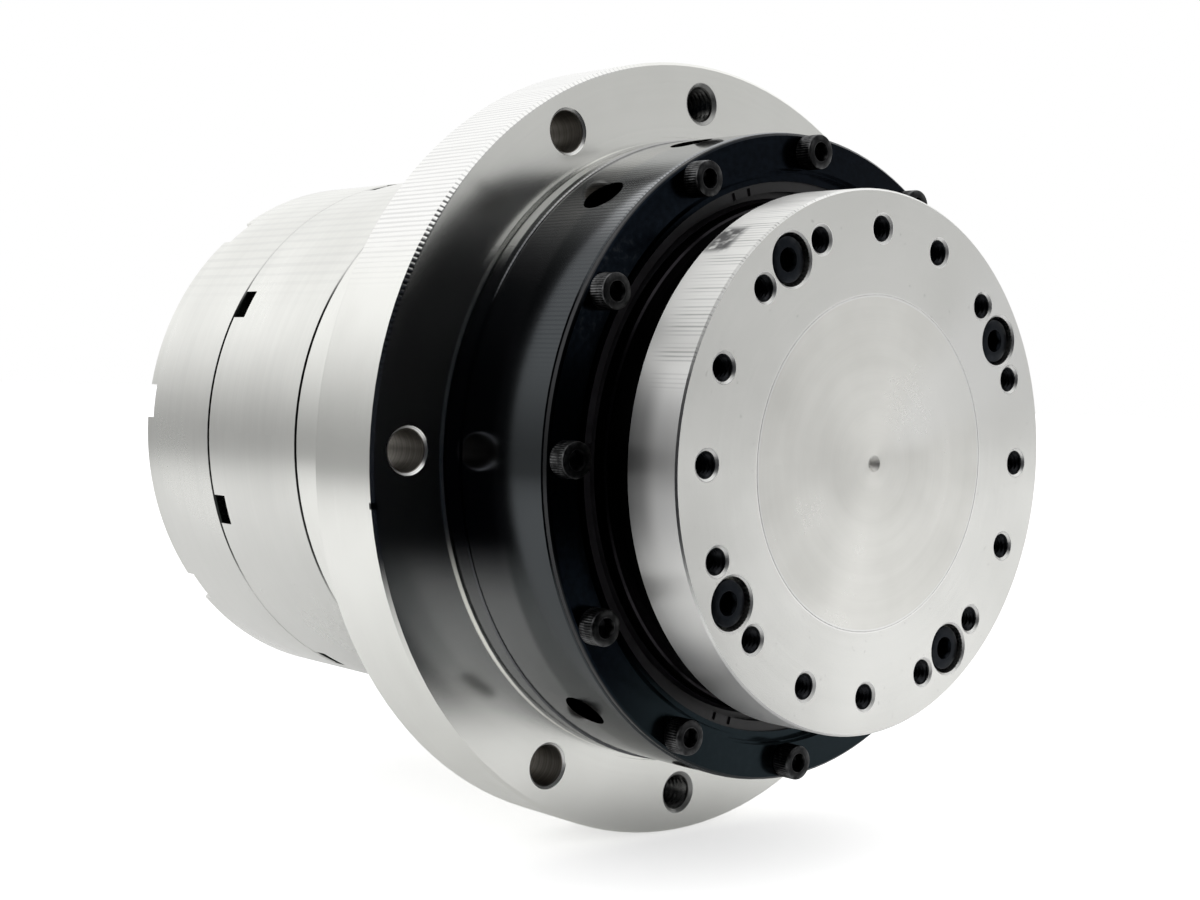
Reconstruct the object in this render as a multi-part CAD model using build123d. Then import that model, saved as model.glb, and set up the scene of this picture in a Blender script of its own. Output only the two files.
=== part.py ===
"""Strain wave rotary actuator: a flanged housing with a crossed roller output bearing, a toothed
flexspline driven by an oval wave generator, a brushless motor, a spring applied brake and an encoder.

Each piece is built upright about the Z axis, with the output flange at the top and the mounting
flange's front face at height 0, and is laid down at the end so that the output faces -Y.
All sizes are millimetres. A height is a distance from the mounting flange's front face.
"""

import os
from math import cos, degrees, hypot, pi, sin, sqrt

from build123d import *

# Clearances
SEAT_GAP = 0.02          # radial gap of a located or bonded seat
RUN_GAP = 0.05           # radial gap of a sliding or sealing fit
HOLE_GAP = 0.2           # radial gap of a bolt in its clearance hole
FREE_GAP = 0.5           # gap between a rotating piece and its nearest neighbour

# Housing outline
FLANGE_WIDTH = 13.0              # width of the flange outside the pilot
FLANGE_THICKNESS = 15.5
PILOT_STEP = 0.3                 # the pilot stands proud of the barrel
PILOT_LENGTH = 4.3
BARREL_WALL = 5.3                # wall of the barrel outside the output bearing
BARREL_LENGTH = 23.2
BODY_WALL = 5.0                  # wall of the body rings outside the motor's bearing plates
FRONT_RING_LENGTH = 30.1
MIDDLE_LENGTH = 29.7
REAR_LENGTH = 23.5
SEAM_CHAMFER = 0.35
EDGE_CHAMFER = 0.5

# Mounting holes in the flange
MOUNT_EDGE = 6.5                 # distance of the holes' circle from the flange's rim
MOUNT_HOLE_RADIUS = 3.3
MOUNT_HOLE_COUNT = 6
MOUNT_TAP_COUNT = 2
MOUNT_TAP_ANGLE = 90.0
MOUNT_TAP_RADIUS = 3.0
MOUNT_TAP_DEPTH = 12.0
HOLE_CHAMFER = 0.5

# Radial ports in the barrel
PORT_RADIUS = 3.4
PORT_DEPTH = 3.0
PORT_HEIGHT = 13.5
PORT_ANGLES = (107.0, 130.0, 229.5)

# Windows in the middle housing and notches in the rear rim
WINDOW_COUNT = 8
WINDOW_WIDTH = 5.5
WINDOW_LENGTH = 3.9
WINDOW_DEPTH = 3.0
WINDOW_ANGLE = 152.0
NOTCH_WIDTH = 6.3
NOTCH_DEPTH = 2.5
NOTCH_ANGLE = 174.5

# Crossed roller bearing
BEARING_WIDTH = 16.0
BEARING_RING_WALL = 5.5          # from the rollers' pitch circle to the outer ring's rim
BEARING_PITCH_RADIUS = 40.9
BEARING_RING_GAP = 0.8
INNER_RING_BORE = 31.5
INNER_RING_NOSE = 4.2
ROLLER_RADIUS = 2.5
ROLLER_COUNT = 30
ROLLER_TIP = 45.0                # tilt of a roller's axis
ROLLER_GAP = 0.03

# Bearing clamp ring, its screws and the output seal
CLAMP_SETBACK = 0.2
CLAMP_PLATE = 1.2
CLAMP_LIP_DEPTH = 3.2
CLAMP_COVER = 0.4                # the ring's plate covers this much of the bearing's outer ring
CLAMP_LIP_COVER = 2.4
CLAMP_CHAMFER = 0.4
SCREW_STEP = 2.2                 # from the bearing's rim to the screws' circle
SCREW_COUNT = 12
M3_RADIUS = 1.5
M3_HEAD_RADIUS = 2.75
M3_HEAD_HEIGHT = 3.0
M3_SOCKET = 2.5
SCREW_REACH = 10.0
SEAL_NOTCH_COUNT = 5
SEAL_NOTCH_ANGLE = 107.8
SEAL_FACE_DROP = 0.4

# Output flange
OUTPUT_RADIUS = 42.0
OUTPUT_RIM = 10.3
OUTPUT_NECK_STEP = 2.6
OUTPUT_NECK_LENGTH = 6.2
OUTPUT_EDGE = 6.0                # from the output's rim to the circle of its holes
OUTPUT_TAP_COUNT = 16
M4_RADIUS = 2.0
M4_TAP_DEPTH = 9.0
M4_HEAD_RADIUS = 3.5
M4_HEAD_HEIGHT = 4.0
M4_SOCKET = 3.0
COUNTERBORE_RADIUS = 4.0
COUNTERBORE_DEPTH = 4.8
OUTPUT_SCREW_COUNT = 4
OUTPUT_SCREW_ANGLE = 33.75
OUTPUT_SCREW_LENGTH = 18.0
CAP_RADIUS = 25.8
CAP_THICKNESS = 3.0
CAP_SEAT_WIDTH = 1.8
WEB_THICKNESS = 6.0
SPIGOT_LENGTH = 16.2

# Strain wave gear
FLEX_TEETH = 102
RING_TEETH = 104
WAVE = 0.62                      # radial deflection of the flexspline at the oval's long axis
FLEX_ROOT_RADIUS = 31.1
FLEX_TOOTH_HEIGHT = 0.9
FLEX_TOOTH_ROOT = 0.5            # half the tooth's thickness at its root
FLEX_TOOTH_TIP = 0.22            # half the tooth's thickness at its tip
FLEX_TOOTH_RING = 1.0            # wall under the teeth
FLEX_WALL = 0.6
FLEX_WALL_STEP = 0.4             # drop from the teeth's root to the cup's round wall
FLEX_FACE_WIDTH = 13.5
FLEX_CORNER = 3.0
FLEX_BOSS_RADIUS = 18.0
FLEX_BOSS_BORE = 9.5
FLEX_BOSS_THICKNESS = 5.0
FLEX_RELIEF = 0.6
FLEX_SCREW_COUNT = 6
FLEX_SCREW_CIRCLE = 13.5
CLAMP_PLATE_THICKNESS = 3.0
RING_GEAR_WALL = 9.75            # wall outside the ring gear's tooth roots
RING_GEAR_WIDTH = 12.0
RING_TIP_RISE = 0.7              # from the flexspline's tooth root to the ring gear's tooth tip
RING_ROOT_RISE = 1.65            # from the flexspline's tooth root to the ring gear's tooth root
RING_SPACE_TIP = 0.58            # half the space between teeth at their tips
RING_SPACE_ROOT = 0.28           # half the space between teeth at their roots
RING_GEAR_HEIGHT = -14.0
RING_SCREW_COUNT = 8
RING_SCREW_EDGE = 3.9
RING_SCREW_REACH = 7.0
WEB_BORE = 35.0

# Wave generator
WAVE_BEARING_WIDTH = 8.0
WAVE_OUTER_RACE = 1.4
WAVE_INNER_RACE = 1.6
WAVE_BALL_RADIUS = 2.3
WAVE_BALL_COUNT = 15
PLUG_HUB_RADIUS = 11.0
PLUG_HUB_LENGTH = 11.0
PLUG_WINDOW_COUNT = 6
PLUG_WINDOW_RADIUS = 2.8
PLUG_WINDOW_CIRCLE = 16.4
PLUG_WINDOW_ANGLE = 30.0
NOSE_RADIUS = 6.0
M5_RADIUS = 2.5
M5_HEAD_RADIUS = 4.25
M5_HEAD_HEIGHT = 5.0
M5_SOCKET = 4.0
M5_REACH = 14.0
WASHER_RADIUS = 9.0
WASHER_THICKNESS = 1.5

# Motor
PLATE_STEP = 2.0                 # how far the plates reach into the housing outside the main bore
PLATE_THICKNESS = 5.0
REAR_PLATE_THICKNESS = 4.0
SPIGOT_DEPTH = 3.0
PLATE_HUB_RADIUS = 16.0
PLATE_HUB_LENGTH = 4.0
STATOR_LENGTH = 16.0
STATOR_BORE = 27.5
STATOR_SLOTS = 12
STATOR_BACK = 4.5
STATOR_TOOTH_WIDTH = 7.0
STATOR_SHOE_WIDTH = 12.0
STATOR_SHOE_DEPTH = 1.6
STATOR_SETBACK = 2.0
STATOR_LEDGE = 0.9
COIL_BUILD = 2.6
COIL_OVERHANG = 4.2
COIL_SETBACK = 1.0
ROTOR_RADIUS = 24.4
ROTOR_RIM = 3.4
ROTOR_WEB = 5.0
ROTOR_HUB_RADIUS = 13.0
MAGNET_THICKNESS = 2.2
MAGNET_COUNT = 10
MAGNET_ANGLE = 31.0

# Motor shaft and its ball bearings
SHAFT_RADIUS = 8.5
SHAFT_SHOULDER_RADIUS = 10.0
SHAFT_BEARING_RADIUS = 13.0
SHAFT_BEARING_WIDTH = 5.0
SHAFT_BEARING_BALL = 1.4
SHAFT_BEARING_BALLS = 9
SHAFT_RACE = 1.45
SHAFT_SEAL_WIDTH = 2.4
SPRING_THICKNESS = 0.8
TAIL_RADIUS = 5.0

# Brake
BRAKE_HUB_RADIUS = 13.5
HUB_SQUARE = 20.0
FRICTION_RADIUS = 30.0
FRICTION_THICKNESS = 2.0
BRAKE_FACE_GAP = 0.03
BRAKE_SIDE_GAP = 1.4             # from the armature's rim to the brake's spacers
ARMATURE_BORE = 15.0
ARMATURE_THICKNESS = 2.0
ARMATURE_TRAVEL = 0.25
ARMATURE_GAP = 0.3
MAGNET_BODY_LENGTH = 9.4
MAGNET_BODY_STEP = 1.0
MAGNET_BODY_BORE = 15.5
MAGNET_FLANGE_GAP = 1.5
MAGNET_FLANGE = 3.0
BRAKE_COIL_INNER = 20.5
BRAKE_COIL_OUTER = 28.5
BRAKE_COIL_DEPTH = 5.5
BRAKE_SPRING_COUNT = 4
BRAKE_SPRING_RADIUS = 1.5
BRAKE_SPRING_WIRE = 0.45
BRAKE_SPRING_EDGE = 2.2
BRAKE_SPRING_ANGLE = 15.0
BRAKE_SPRING_DEPTH = 6.0
BRAKE_SCREW_COUNT = 3
BRAKE_SCREW_EDGE = 3.0
BRAKE_SCREW_ANGLE = 30.0
SPACER_RADIUS = 2.6

# Encoder and rear end
REAR_RIM_WIDTH = 3.5
REAR_WALL = 3.0
BOARD_RADIUS = 33.0
BOARD_BORE = 9.0
BOARD_THICKNESS = 1.6
BOARD_BOSS = 1.0
BOARD_BOSS_RADIUS = 3.0
BOARD_SCREW_CIRCLE = 29.0
BOARD_SCREW_COUNT = 3
BOARD_SCREW_ANGLE = 90.0
M2_RADIUS = 1.0
M2_HEAD_RADIUS = 1.9
M2_HEAD_HEIGHT = 1.2
M2_SOCKET = 1.5
ENCODER_DISC_RADIUS = 22.0
ENCODER_DISC_THICKNESS = 0.8
ENCODER_GAP = 0.7
HEAD_SIZE = (8.0, 6.0)
CONNECTOR_SIZE = (20.0, 8.0)
CONNECTOR_RADIUS = 20.0
CONNECTOR_ANGLE = 270.0
CONNECTOR_WALL = 1.0
CONTACT_COUNT = 6
CONTACT_PITCH = 2.5
CONTACT_WIDTH = 0.8
CONTACT_THICKNESS = 0.25
HOUSING_BOLT_STEP = 1.9          # from the plates' rim to the bolts' circle
HOUSING_BOLT_COUNT = 8
HOUSING_BOLT_RADIUS = 1.25
HOUSING_BOLT_HEAD_RADIUS = 2.25
HOUSING_BOLT_HEAD_HEIGHT = 2.5
HOUSING_BOLT_SOCKET = 2.0
HOUSING_BOLT_REACH = 7.0
HOUSING_BOLT_ANGLE = 163.25

# Heights that follow from the sizes
front_seam = -FLANGE_THICKNESS - FRONT_RING_LENGTH
rear_seam = front_seam - MIDDLE_LENGTH
rear_end = rear_seam - REAR_LENGTH
bearing_top = BARREL_LENGTH - CLAMP_LIP_DEPTH
bearing_bottom = bearing_top - BEARING_WIDTH
bearing_middle = (bearing_top + bearing_bottom) / 2
clamp_top = BARREL_LENGTH + CLAMP_PLATE
neck_bottom = bearing_top + INNER_RING_NOSE
rim_bottom = neck_bottom + OUTPUT_NECK_LENGTH
output_face = rim_bottom + OUTPUT_RIM
web_bottom = neck_bottom - SPIGOT_LENGTH
web_top = web_bottom + WEB_THICKNESS
ring_gear_bottom = RING_GEAR_HEIGHT - RING_GEAR_WIDTH
flex_tooth_top = RING_GEAR_HEIGHT + FREE_GAP
flex_open_end = flex_tooth_top - FLEX_FACE_WIDTH
boss_bottom = web_bottom - FLEX_BOSS_THICKNESS
wave_middle = (RING_GEAR_HEIGHT + ring_gear_bottom) / 2
wave_top = wave_middle + WAVE_BEARING_WIDTH / 2
wave_bottom = wave_middle - WAVE_BEARING_WIDTH / 2
hub_top = wave_top + 1.0
hub_bottom = hub_top - PLUG_HUB_LENGTH
front_plate_bottom = front_seam + SPIGOT_DEPTH
front_plate_top = front_plate_bottom + PLATE_THICKNESS
front_bearing_bottom = front_plate_bottom + 0.6
front_bearing_top = front_bearing_bottom + SHAFT_BEARING_WIDTH
shaft_seal_bottom = front_bearing_top + 1.4
stator_top = front_seam - STATOR_SETBACK
stator_bottom = stator_top - STATOR_LENGTH
rear_plate_bottom = rear_seam + 2.3
rear_plate_top = rear_plate_bottom + REAR_PLATE_THICKNESS
rear_shoulder = rear_plate_bottom + 0.8
rear_bearing_bottom = rear_shoulder + SPRING_THICKNESS
rear_bearing_top = rear_bearing_bottom + SHAFT_BEARING_WIDTH
friction_top = rear_plate_bottom - BRAKE_FACE_GAP
friction_bottom = friction_top - FRICTION_THICKNESS
armature_top = friction_bottom - BRAKE_FACE_GAP
armature_bottom = armature_top - ARMATURE_THICKNESS
magnet_body_top = armature_bottom - ARMATURE_GAP
magnet_body_bottom = magnet_body_top - MAGNET_BODY_LENGTH
housing_bolt_seat = rear_end + HOUSING_BOLT_HEAD_HEIGHT + 0.4
end_wall_outside = rear_end + NOTCH_DEPTH
end_wall_inside = end_wall_outside + REAR_WALL
board_bottom = end_wall_inside + BOARD_BOSS
board_top = board_bottom + BOARD_THICKNESS
disc_bottom = board_top + ENCODER_GAP
disc_top = disc_bottom + ENCODER_DISC_THICKNESS

# Radii that follow from the sizes
bearing_radius = BEARING_PITCH_RADIUS + BEARING_RING_WALL
barrel_radius = bearing_radius + BARREL_WALL
pilot_radius = barrel_radius + PILOT_STEP
clamp_radius = barrel_radius - CLAMP_SETBACK
clamp_bore = bearing_radius - CLAMP_COVER
clamp_lip_bore = bearing_radius - CLAMP_LIP_COVER
screw_circle_radius = bearing_radius + SCREW_STEP
output_circle_radius = OUTPUT_RADIUS - OUTPUT_EDGE
output_neck_radius = OUTPUT_RADIUS - OUTPUT_NECK_STEP
flange_radius = pilot_radius + FLANGE_WIDTH
mount_circle = flange_radius - MOUNT_EDGE
ring_tip_radius = FLEX_ROOT_RADIUS + RING_TIP_RISE
ring_root_radius = FLEX_ROOT_RADIUS + RING_ROOT_RISE
ring_gear_radius = ring_root_radius + RING_GEAR_WALL
ring_screw_circle = ring_gear_radius - RING_SCREW_EDGE
stator_radius = ring_gear_radius
stator_yoke = stator_radius - STATOR_BACK
coil_outer_radius = stator_yoke - COIL_SETBACK
rear_bore = ring_gear_radius
plate_radius = ring_gear_radius + PLATE_STEP
body_radius = plate_radius + BODY_WALL
housing_bolt_circle = plate_radius + HOUSING_BOLT_STEP
magnet_flange_radius = rear_bore - MAGNET_FLANGE_GAP
brake_screw_circle = magnet_flange_radius - BRAKE_SCREW_EDGE
armature_radius = brake_screw_circle - SPACER_RADIUS - BRAKE_SIDE_GAP
magnet_body_radius = armature_radius + MAGNET_BODY_STEP
brake_spring_circle = armature_radius - BRAKE_SPRING_EDGE
flex_wall_radius = FLEX_ROOT_RADIUS - FLEX_WALL_STEP
inner_ring_radius = BEARING_PITCH_RADIUS - BEARING_RING_GAP / 2
outer_ring_bore = BEARING_PITCH_RADIUS + BEARING_RING_GAP / 2
groove_half = sqrt(2) * (ROLLER_RADIUS + ROLLER_GAP)
flex_bore = FLEX_ROOT_RADIUS - FLEX_TOOTH_RING
outer_race_radius = flex_bore - SEAT_GAP
ball_pitch_radius = outer_race_radius - WAVE_OUTER_RACE - SEAT_GAP - WAVE_BALL_RADIUS
inner_race_radius = ball_pitch_radius - WAVE_BALL_RADIUS - SEAT_GAP
plug_radius = inner_race_radius - WAVE_INNER_RACE - SEAT_GAP

nodes = {}


def turned(*corners, arc=360.0):
    """Solid of revolution about the actuator's axis, from (radius, height) corners."""
    section = Plane.XZ * make_face(Polyline(*corners, close=True))
    return revolve(section, axis=Axis.Z, revolution_arc=arc)


def disc(radius, bottom, top):
    """Cylinder on the actuator's axis between two heights."""
    return Pos(0, 0, bottom) * Cylinder(radius, top - bottom, align=(Align.CENTER, Align.CENTER, Align.MIN))


def tube(bore, radius, bottom, top):
    """Ring with a rectangular section between two heights."""
    return turned((bore, bottom), (radius, bottom), (radius, top), (bore, top))


def around(count, shape, start=0.0):
    """Copies of a shape turned about the axis at equal angles."""
    return [Rot(0, 0, start + 360.0 * k / count) * shape for k in range(count)]


def pin(circle, radius, bottom, top):
    """Cylinder parallel to the axis, on the +X side of a circle."""
    return Pos(circle, 0, 0) * disc(radius, bottom, top)


def mouth(circle, radius, top, chamfer):
    """Cone that chamfers the mouth of a hole whose rim lies at the given height, opening upwards."""
    cone = Cone(radius, radius + 2 * chamfer, 2 * chamfer)
    return Pos(circle, 0, top) * cone


def oval(radius):
    """Ellipse that a circle of this radius takes when the wave generator stretches it along X."""
    return Ellipse(radius + WAVE, radius - WAVE)


def oval_tube(bore, radius, bottom, top):
    """Oval ring with a wall of even thickness."""
    return Pos(0, 0, bottom) * extrude(oval(radius) - oval(bore), amount=top - bottom)


def socket_screw(radius, head_radius, head_height, socket, reach):
    """Socket head screw with its head's seat at height 0 and its shank pointing down."""
    head = disc(head_radius, 0, head_height)
    rim = head.edges().filter_by(GeomType.CIRCLE).group_by(Axis.Z)[-1]
    head = chamfer(rim, 0.08 * head_radius)
    key = extrude(RegularPolygon(socket / sqrt(3), 6), amount=0.5 * head_height)
    return head - Pos(0, 0, 0.5 * head_height) * key + disc(radius, -reach, 0)


def group(shapes):
    """One node that holds several separate solids."""
    return Compound([solid for shape in shapes for solid in shape.solids()])


def keep(name, shape):
    nodes[name] = shape


# Housing

def flange_housing():
    """Mounting flange, barrel and front ring, machined from one bar."""
    relief = bearing_bottom - 0.6
    body = turned(
        (WEB_BORE, RING_GEAR_HEIGHT),
        (ring_gear_radius + SEAT_GAP, RING_GEAR_HEIGHT),
        (ring_gear_radius + SEAT_GAP, front_plate_top),
        (plate_radius + SEAT_GAP, front_plate_top),
        (plate_radius + SEAT_GAP, front_seam),
        (body_radius - SEAM_CHAMFER, front_seam),
        (body_radius, front_seam + SEAM_CHAMFER),
        (body_radius, -FLANGE_THICKNESS),
        (flange_radius - EDGE_CHAMFER, -FLANGE_THICKNESS),
        (flange_radius, -FLANGE_THICKNESS + EDGE_CHAMFER),
        (flange_radius, -EDGE_CHAMFER),
        (flange_radius - EDGE_CHAMFER, 0),
        (pilot_radius + 0.7, 0),
        (pilot_radius + 0.7, -0.4),
        (pilot_radius, -0.4),
        (pilot_radius, PILOT_LENGTH - 0.2),
        (pilot_radius - 0.2, PILOT_LENGTH),
        (barrel_radius, PILOT_LENGTH),
        (barrel_radius, BARREL_LENGTH - 0.2),
        (barrel_radius - 0.2, BARREL_LENGTH),
        (bearing_radius + SEAT_GAP, BARREL_LENGTH),
        (bearing_radius + SEAT_GAP, bearing_bottom),
        (outer_ring_bore + 2.2, bearing_bottom),
        (outer_ring_bore + 2.2, relief),
        (WEB_BORE, relief),
    )
    hole = pin(mount_circle, MOUNT_HOLE_RADIUS, -FLANGE_THICKNESS, 0)
    front_mouth = mouth(mount_circle, MOUNT_HOLE_RADIUS, 0, HOLE_CHAMFER)
    back_mouth = Pos(0, 0, -FLANGE_THICKNESS) * (Rot(180, 0, 0) * front_mouth)
    tap = pin(mount_circle, MOUNT_TAP_RADIUS, -MOUNT_TAP_DEPTH, 0)
    tap_mouth = mouth(mount_circle, MOUNT_TAP_RADIUS, 0, HOLE_CHAMFER)
    cuts = []
    for cut in (hole, front_mouth, back_mouth):
        cuts += around(MOUNT_HOLE_COUNT, cut)
    for cut in (tap, tap_mouth):
        cuts += around(MOUNT_TAP_COUNT, cut, MOUNT_TAP_ANGLE)
    thread = M3_RADIUS + SEAT_GAP
    clamp_tap = pin(screw_circle_radius, thread, clamp_top - SCREW_REACH - 1, BARREL_LENGTH)
    gear_tap = pin(ring_screw_circle, thread, RING_GEAR_HEIGHT, RING_GEAR_HEIGHT + RING_SCREW_REACH + 1)
    bolt_end = front_seam + HOUSING_BOLT_REACH + 1
    bolt_tap = pin(housing_bolt_circle, HOUSING_BOLT_RADIUS + SEAT_GAP, front_seam, bolt_end)
    cuts += around(SCREW_COUNT, clamp_tap)
    cuts += around(RING_SCREW_COUNT, gear_tap)
    cuts += around(HOUSING_BOLT_COUNT, bolt_tap, HOUSING_BOLT_ANGLE)
    port = Rot(0, 90, 0) * Cylinder(PORT_RADIUS, PORT_DEPTH, align=(Align.CENTER, Align.CENTER, Align.MAX))
    for angle in PORT_ANGLES:
        cuts.append(Rot(0, 0, angle) * Pos(barrel_radius + 0.5, 0, PORT_HEIGHT) * port)
    return body - cuts


def middle_housing():
    """Ring that holds the stator, with windows by its rear edge and a spigot at its front end."""
    bore = stator_radius + SEAT_GAP
    ring = turned(
        (bore, front_plate_bottom),
        (plate_radius, front_plate_bottom),
        (plate_radius, front_seam),
        (body_radius - SEAM_CHAMFER, front_seam),
        (body_radius, front_seam - SEAM_CHAMFER),
        (body_radius, rear_seam + SEAM_CHAMFER),
        (body_radius - SEAM_CHAMFER, rear_seam),
        (plate_radius + SEAT_GAP, rear_seam),
        (plate_radius + SEAT_GAP, rear_plate_top),
        (bore - STATOR_LEDGE, rear_plate_top),
        (bore - STATOR_LEDGE, stator_bottom),
        (bore, stator_bottom),
    )
    window = Box(2 * WINDOW_DEPTH, WINDOW_WIDTH, WINDOW_LENGTH)
    window = Pos(body_radius, 0, rear_seam + WINDOW_LENGTH / 2) * window
    bolt = pin(housing_bolt_circle, HOUSING_BOLT_RADIUS + HOLE_GAP, rear_seam, front_plate_bottom)
    cuts = around(WINDOW_COUNT, window, WINDOW_ANGLE)
    cuts += around(HOUSING_BOLT_COUNT, bolt, HOUSING_BOLT_ANGLE)
    return ring - cuts


def rear_cap():
    """Rear cap: a thick ring with a set-in end wall and a notched rim."""
    rim_bore = body_radius - REAR_RIM_WIDTH
    cup = turned(
        (0, end_wall_outside),
        (rim_bore, end_wall_outside),
        (rim_bore, rear_end),
        (body_radius - SEAM_CHAMFER, rear_end),
        (body_radius, rear_end + SEAM_CHAMFER),
        (body_radius, rear_seam - SEAM_CHAMFER),
        (body_radius - SEAM_CHAMFER, rear_seam),
        (plate_radius, rear_seam),
        (plate_radius, rear_plate_bottom),
        (rear_bore, rear_plate_bottom),
        (rear_bore, end_wall_inside),
        (0, end_wall_inside),
    )
    notch = Pos(body_radius - REAR_RIM_WIDTH / 2, 0, rear_end + NOTCH_DEPTH / 2)
    notch = notch * Box(3 * REAR_RIM_WIDTH, NOTCH_WIDTH, NOTCH_DEPTH)
    bolt = pin(housing_bolt_circle, HOUSING_BOLT_RADIUS + HOLE_GAP, rear_end, rear_plate_bottom)
    head = pin(housing_bolt_circle, HOUSING_BOLT_HEAD_RADIUS + HOLE_GAP, rear_end, housing_bolt_seat)
    boss = pin(BOARD_SCREW_CIRCLE, BOARD_BOSS_RADIUS, end_wall_inside, board_bottom)
    boss_tap = pin(BOARD_SCREW_CIRCLE, M2_RADIUS + SEAT_GAP, end_wall_inside - 1.5, board_bottom)
    length, width = CONNECTOR_SIZE
    opening = Pos(CONNECTOR_RADIUS, 0, end_wall_outside + REAR_WALL / 2)
    fit = 2 * RUN_GAP
    opening = Rot(0, 0, CONNECTOR_ANGLE) * opening * Box(width + fit, length + fit, REAR_WALL)
    cuts = around(WINDOW_COUNT, notch, NOTCH_ANGLE)
    cuts += around(HOUSING_BOLT_COUNT, bolt, HOUSING_BOLT_ANGLE)
    cuts += around(HOUSING_BOLT_COUNT, head, HOUSING_BOLT_ANGLE)
    cuts += around(BOARD_SCREW_COUNT, boss_tap, BOARD_SCREW_ANGLE)
    cuts.append(opening)
    return cup + around(BOARD_SCREW_COUNT, boss, BOARD_SCREW_ANGLE) - cuts


def housing_bolts():
    """Long bolts that hold the rear cap and middle housing to the flange housing."""
    bolt = socket_screw(
        HOUSING_BOLT_RADIUS,
        HOUSING_BOLT_HEAD_RADIUS,
        HOUSING_BOLT_HEAD_HEIGHT,
        HOUSING_BOLT_SOCKET,
        front_seam + HOUSING_BOLT_REACH - housing_bolt_seat,
    )
    bolt = Pos(housing_bolt_circle, 0, housing_bolt_seat) * (Rot(180, 0, 0) * bolt)
    return group(around(HOUSING_BOLT_COUNT, bolt, HOUSING_BOLT_ANGLE))


# Output bearing and seal

def outer_ring_half(top_half):
    """Half of the split outer ring, with one flank of the roller groove."""
    edge = bearing_top if top_half else bearing_bottom
    side = 1 if top_half else -1
    mouth_half = groove_half - BEARING_RING_GAP / 2
    return turned(
        (BEARING_PITCH_RADIUS + groove_half, bearing_middle),
        (bearing_radius, bearing_middle),
        (bearing_radius, edge - side * EDGE_CHAMFER),
        (bearing_radius - EDGE_CHAMFER, edge),
        (outer_ring_bore, edge),
        (outer_ring_bore, bearing_middle + side * mouth_half),
    )


def inner_ring():
    """Inner ring with the roller groove, a seal nose at the front and taps for the output screws."""
    mouth_half = groove_half - BEARING_RING_GAP / 2
    ring = turned(
        (INNER_RING_BORE, bearing_bottom + FREE_GAP),
        (inner_ring_radius, bearing_bottom + FREE_GAP),
        (inner_ring_radius, bearing_middle - mouth_half),
        (BEARING_PITCH_RADIUS - groove_half, bearing_middle),
        (inner_ring_radius, bearing_middle + mouth_half),
        (inner_ring_radius, neck_bottom - 0.3),
        (inner_ring_radius - 0.3, neck_bottom),
        (INNER_RING_BORE, neck_bottom),
    )
    seat = output_face - COUNTERBORE_DEPTH
    tap = pin(output_circle_radius, M4_RADIUS + SEAT_GAP, seat - OUTPUT_SCREW_LENGTH - 0.5, neck_bottom)
    return ring - around(OUTPUT_SCREW_COUNT, tap, OUTPUT_SCREW_ANGLE)


def crossed_rollers():
    """Rollers in one groove, with every second one tipped the other way."""
    rollers = []
    length = 2 * ROLLER_RADIUS - 0.16
    for k in range(ROLLER_COUNT):
        tip = ROLLER_TIP if k % 2 else -ROLLER_TIP
        roller = Rot(0, tip, 0) * Cylinder(ROLLER_RADIUS, length)
        roller = Pos(BEARING_PITCH_RADIUS, 0, bearing_middle) * roller
        rollers.append(Rot(0, 0, 360.0 * k / ROLLER_COUNT) * roller)
    return group(rollers)


def roller_spacers():
    """Spacer blocks that keep neighbouring rollers apart."""
    half = groove_half - 0.5
    pitch = 360.0 / ROLLER_COUNT
    room = pitch - degrees(2 * (ROLLER_RADIUS + RUN_GAP) / (BEARING_PITCH_RADIUS - half))
    block = turned(
        (BEARING_PITCH_RADIUS - half, bearing_middle),
        (BEARING_PITCH_RADIUS, bearing_middle - half),
        (BEARING_PITCH_RADIUS + half, bearing_middle),
        (BEARING_PITCH_RADIUS, bearing_middle + half),
        arc=room,
    )
    return group(around(ROLLER_COUNT, block, (pitch - room) / 2))


def bearing_clamp_ring():
    """Black ring that clamps the bearing's outer ring and carries the output seal."""
    top = clamp_top
    ring = turned(
        (clamp_lip_bore, bearing_top),
        (bearing_radius, bearing_top),
        (bearing_radius, BARREL_LENGTH),
        (clamp_radius, BARREL_LENGTH),
        (clamp_radius, top - CLAMP_CHAMFER),
        (clamp_radius - CLAMP_CHAMFER, top),
        (clamp_bore, top),
        (clamp_bore, top - 0.8),
        (clamp_bore - 0.4, top - 0.8),
        (clamp_bore - 0.4, top - 1.8),
        (clamp_bore - 1.2, top - 1.8),
        (clamp_bore - 1.2, top - 1.0),
        (clamp_lip_bore, top - 1.0),
    )
    return ring - around(SCREW_COUNT, pin(screw_circle_radius, M3_RADIUS + HOLE_GAP, BARREL_LENGTH, top))


def clamp_ring_screws():
    screw = socket_screw(M3_RADIUS, M3_HEAD_RADIUS, M3_HEAD_HEIGHT, M3_SOCKET, SCREW_REACH)
    return group(around(SCREW_COUNT, Pos(screw_circle_radius, 0, clamp_top) * screw))


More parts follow.
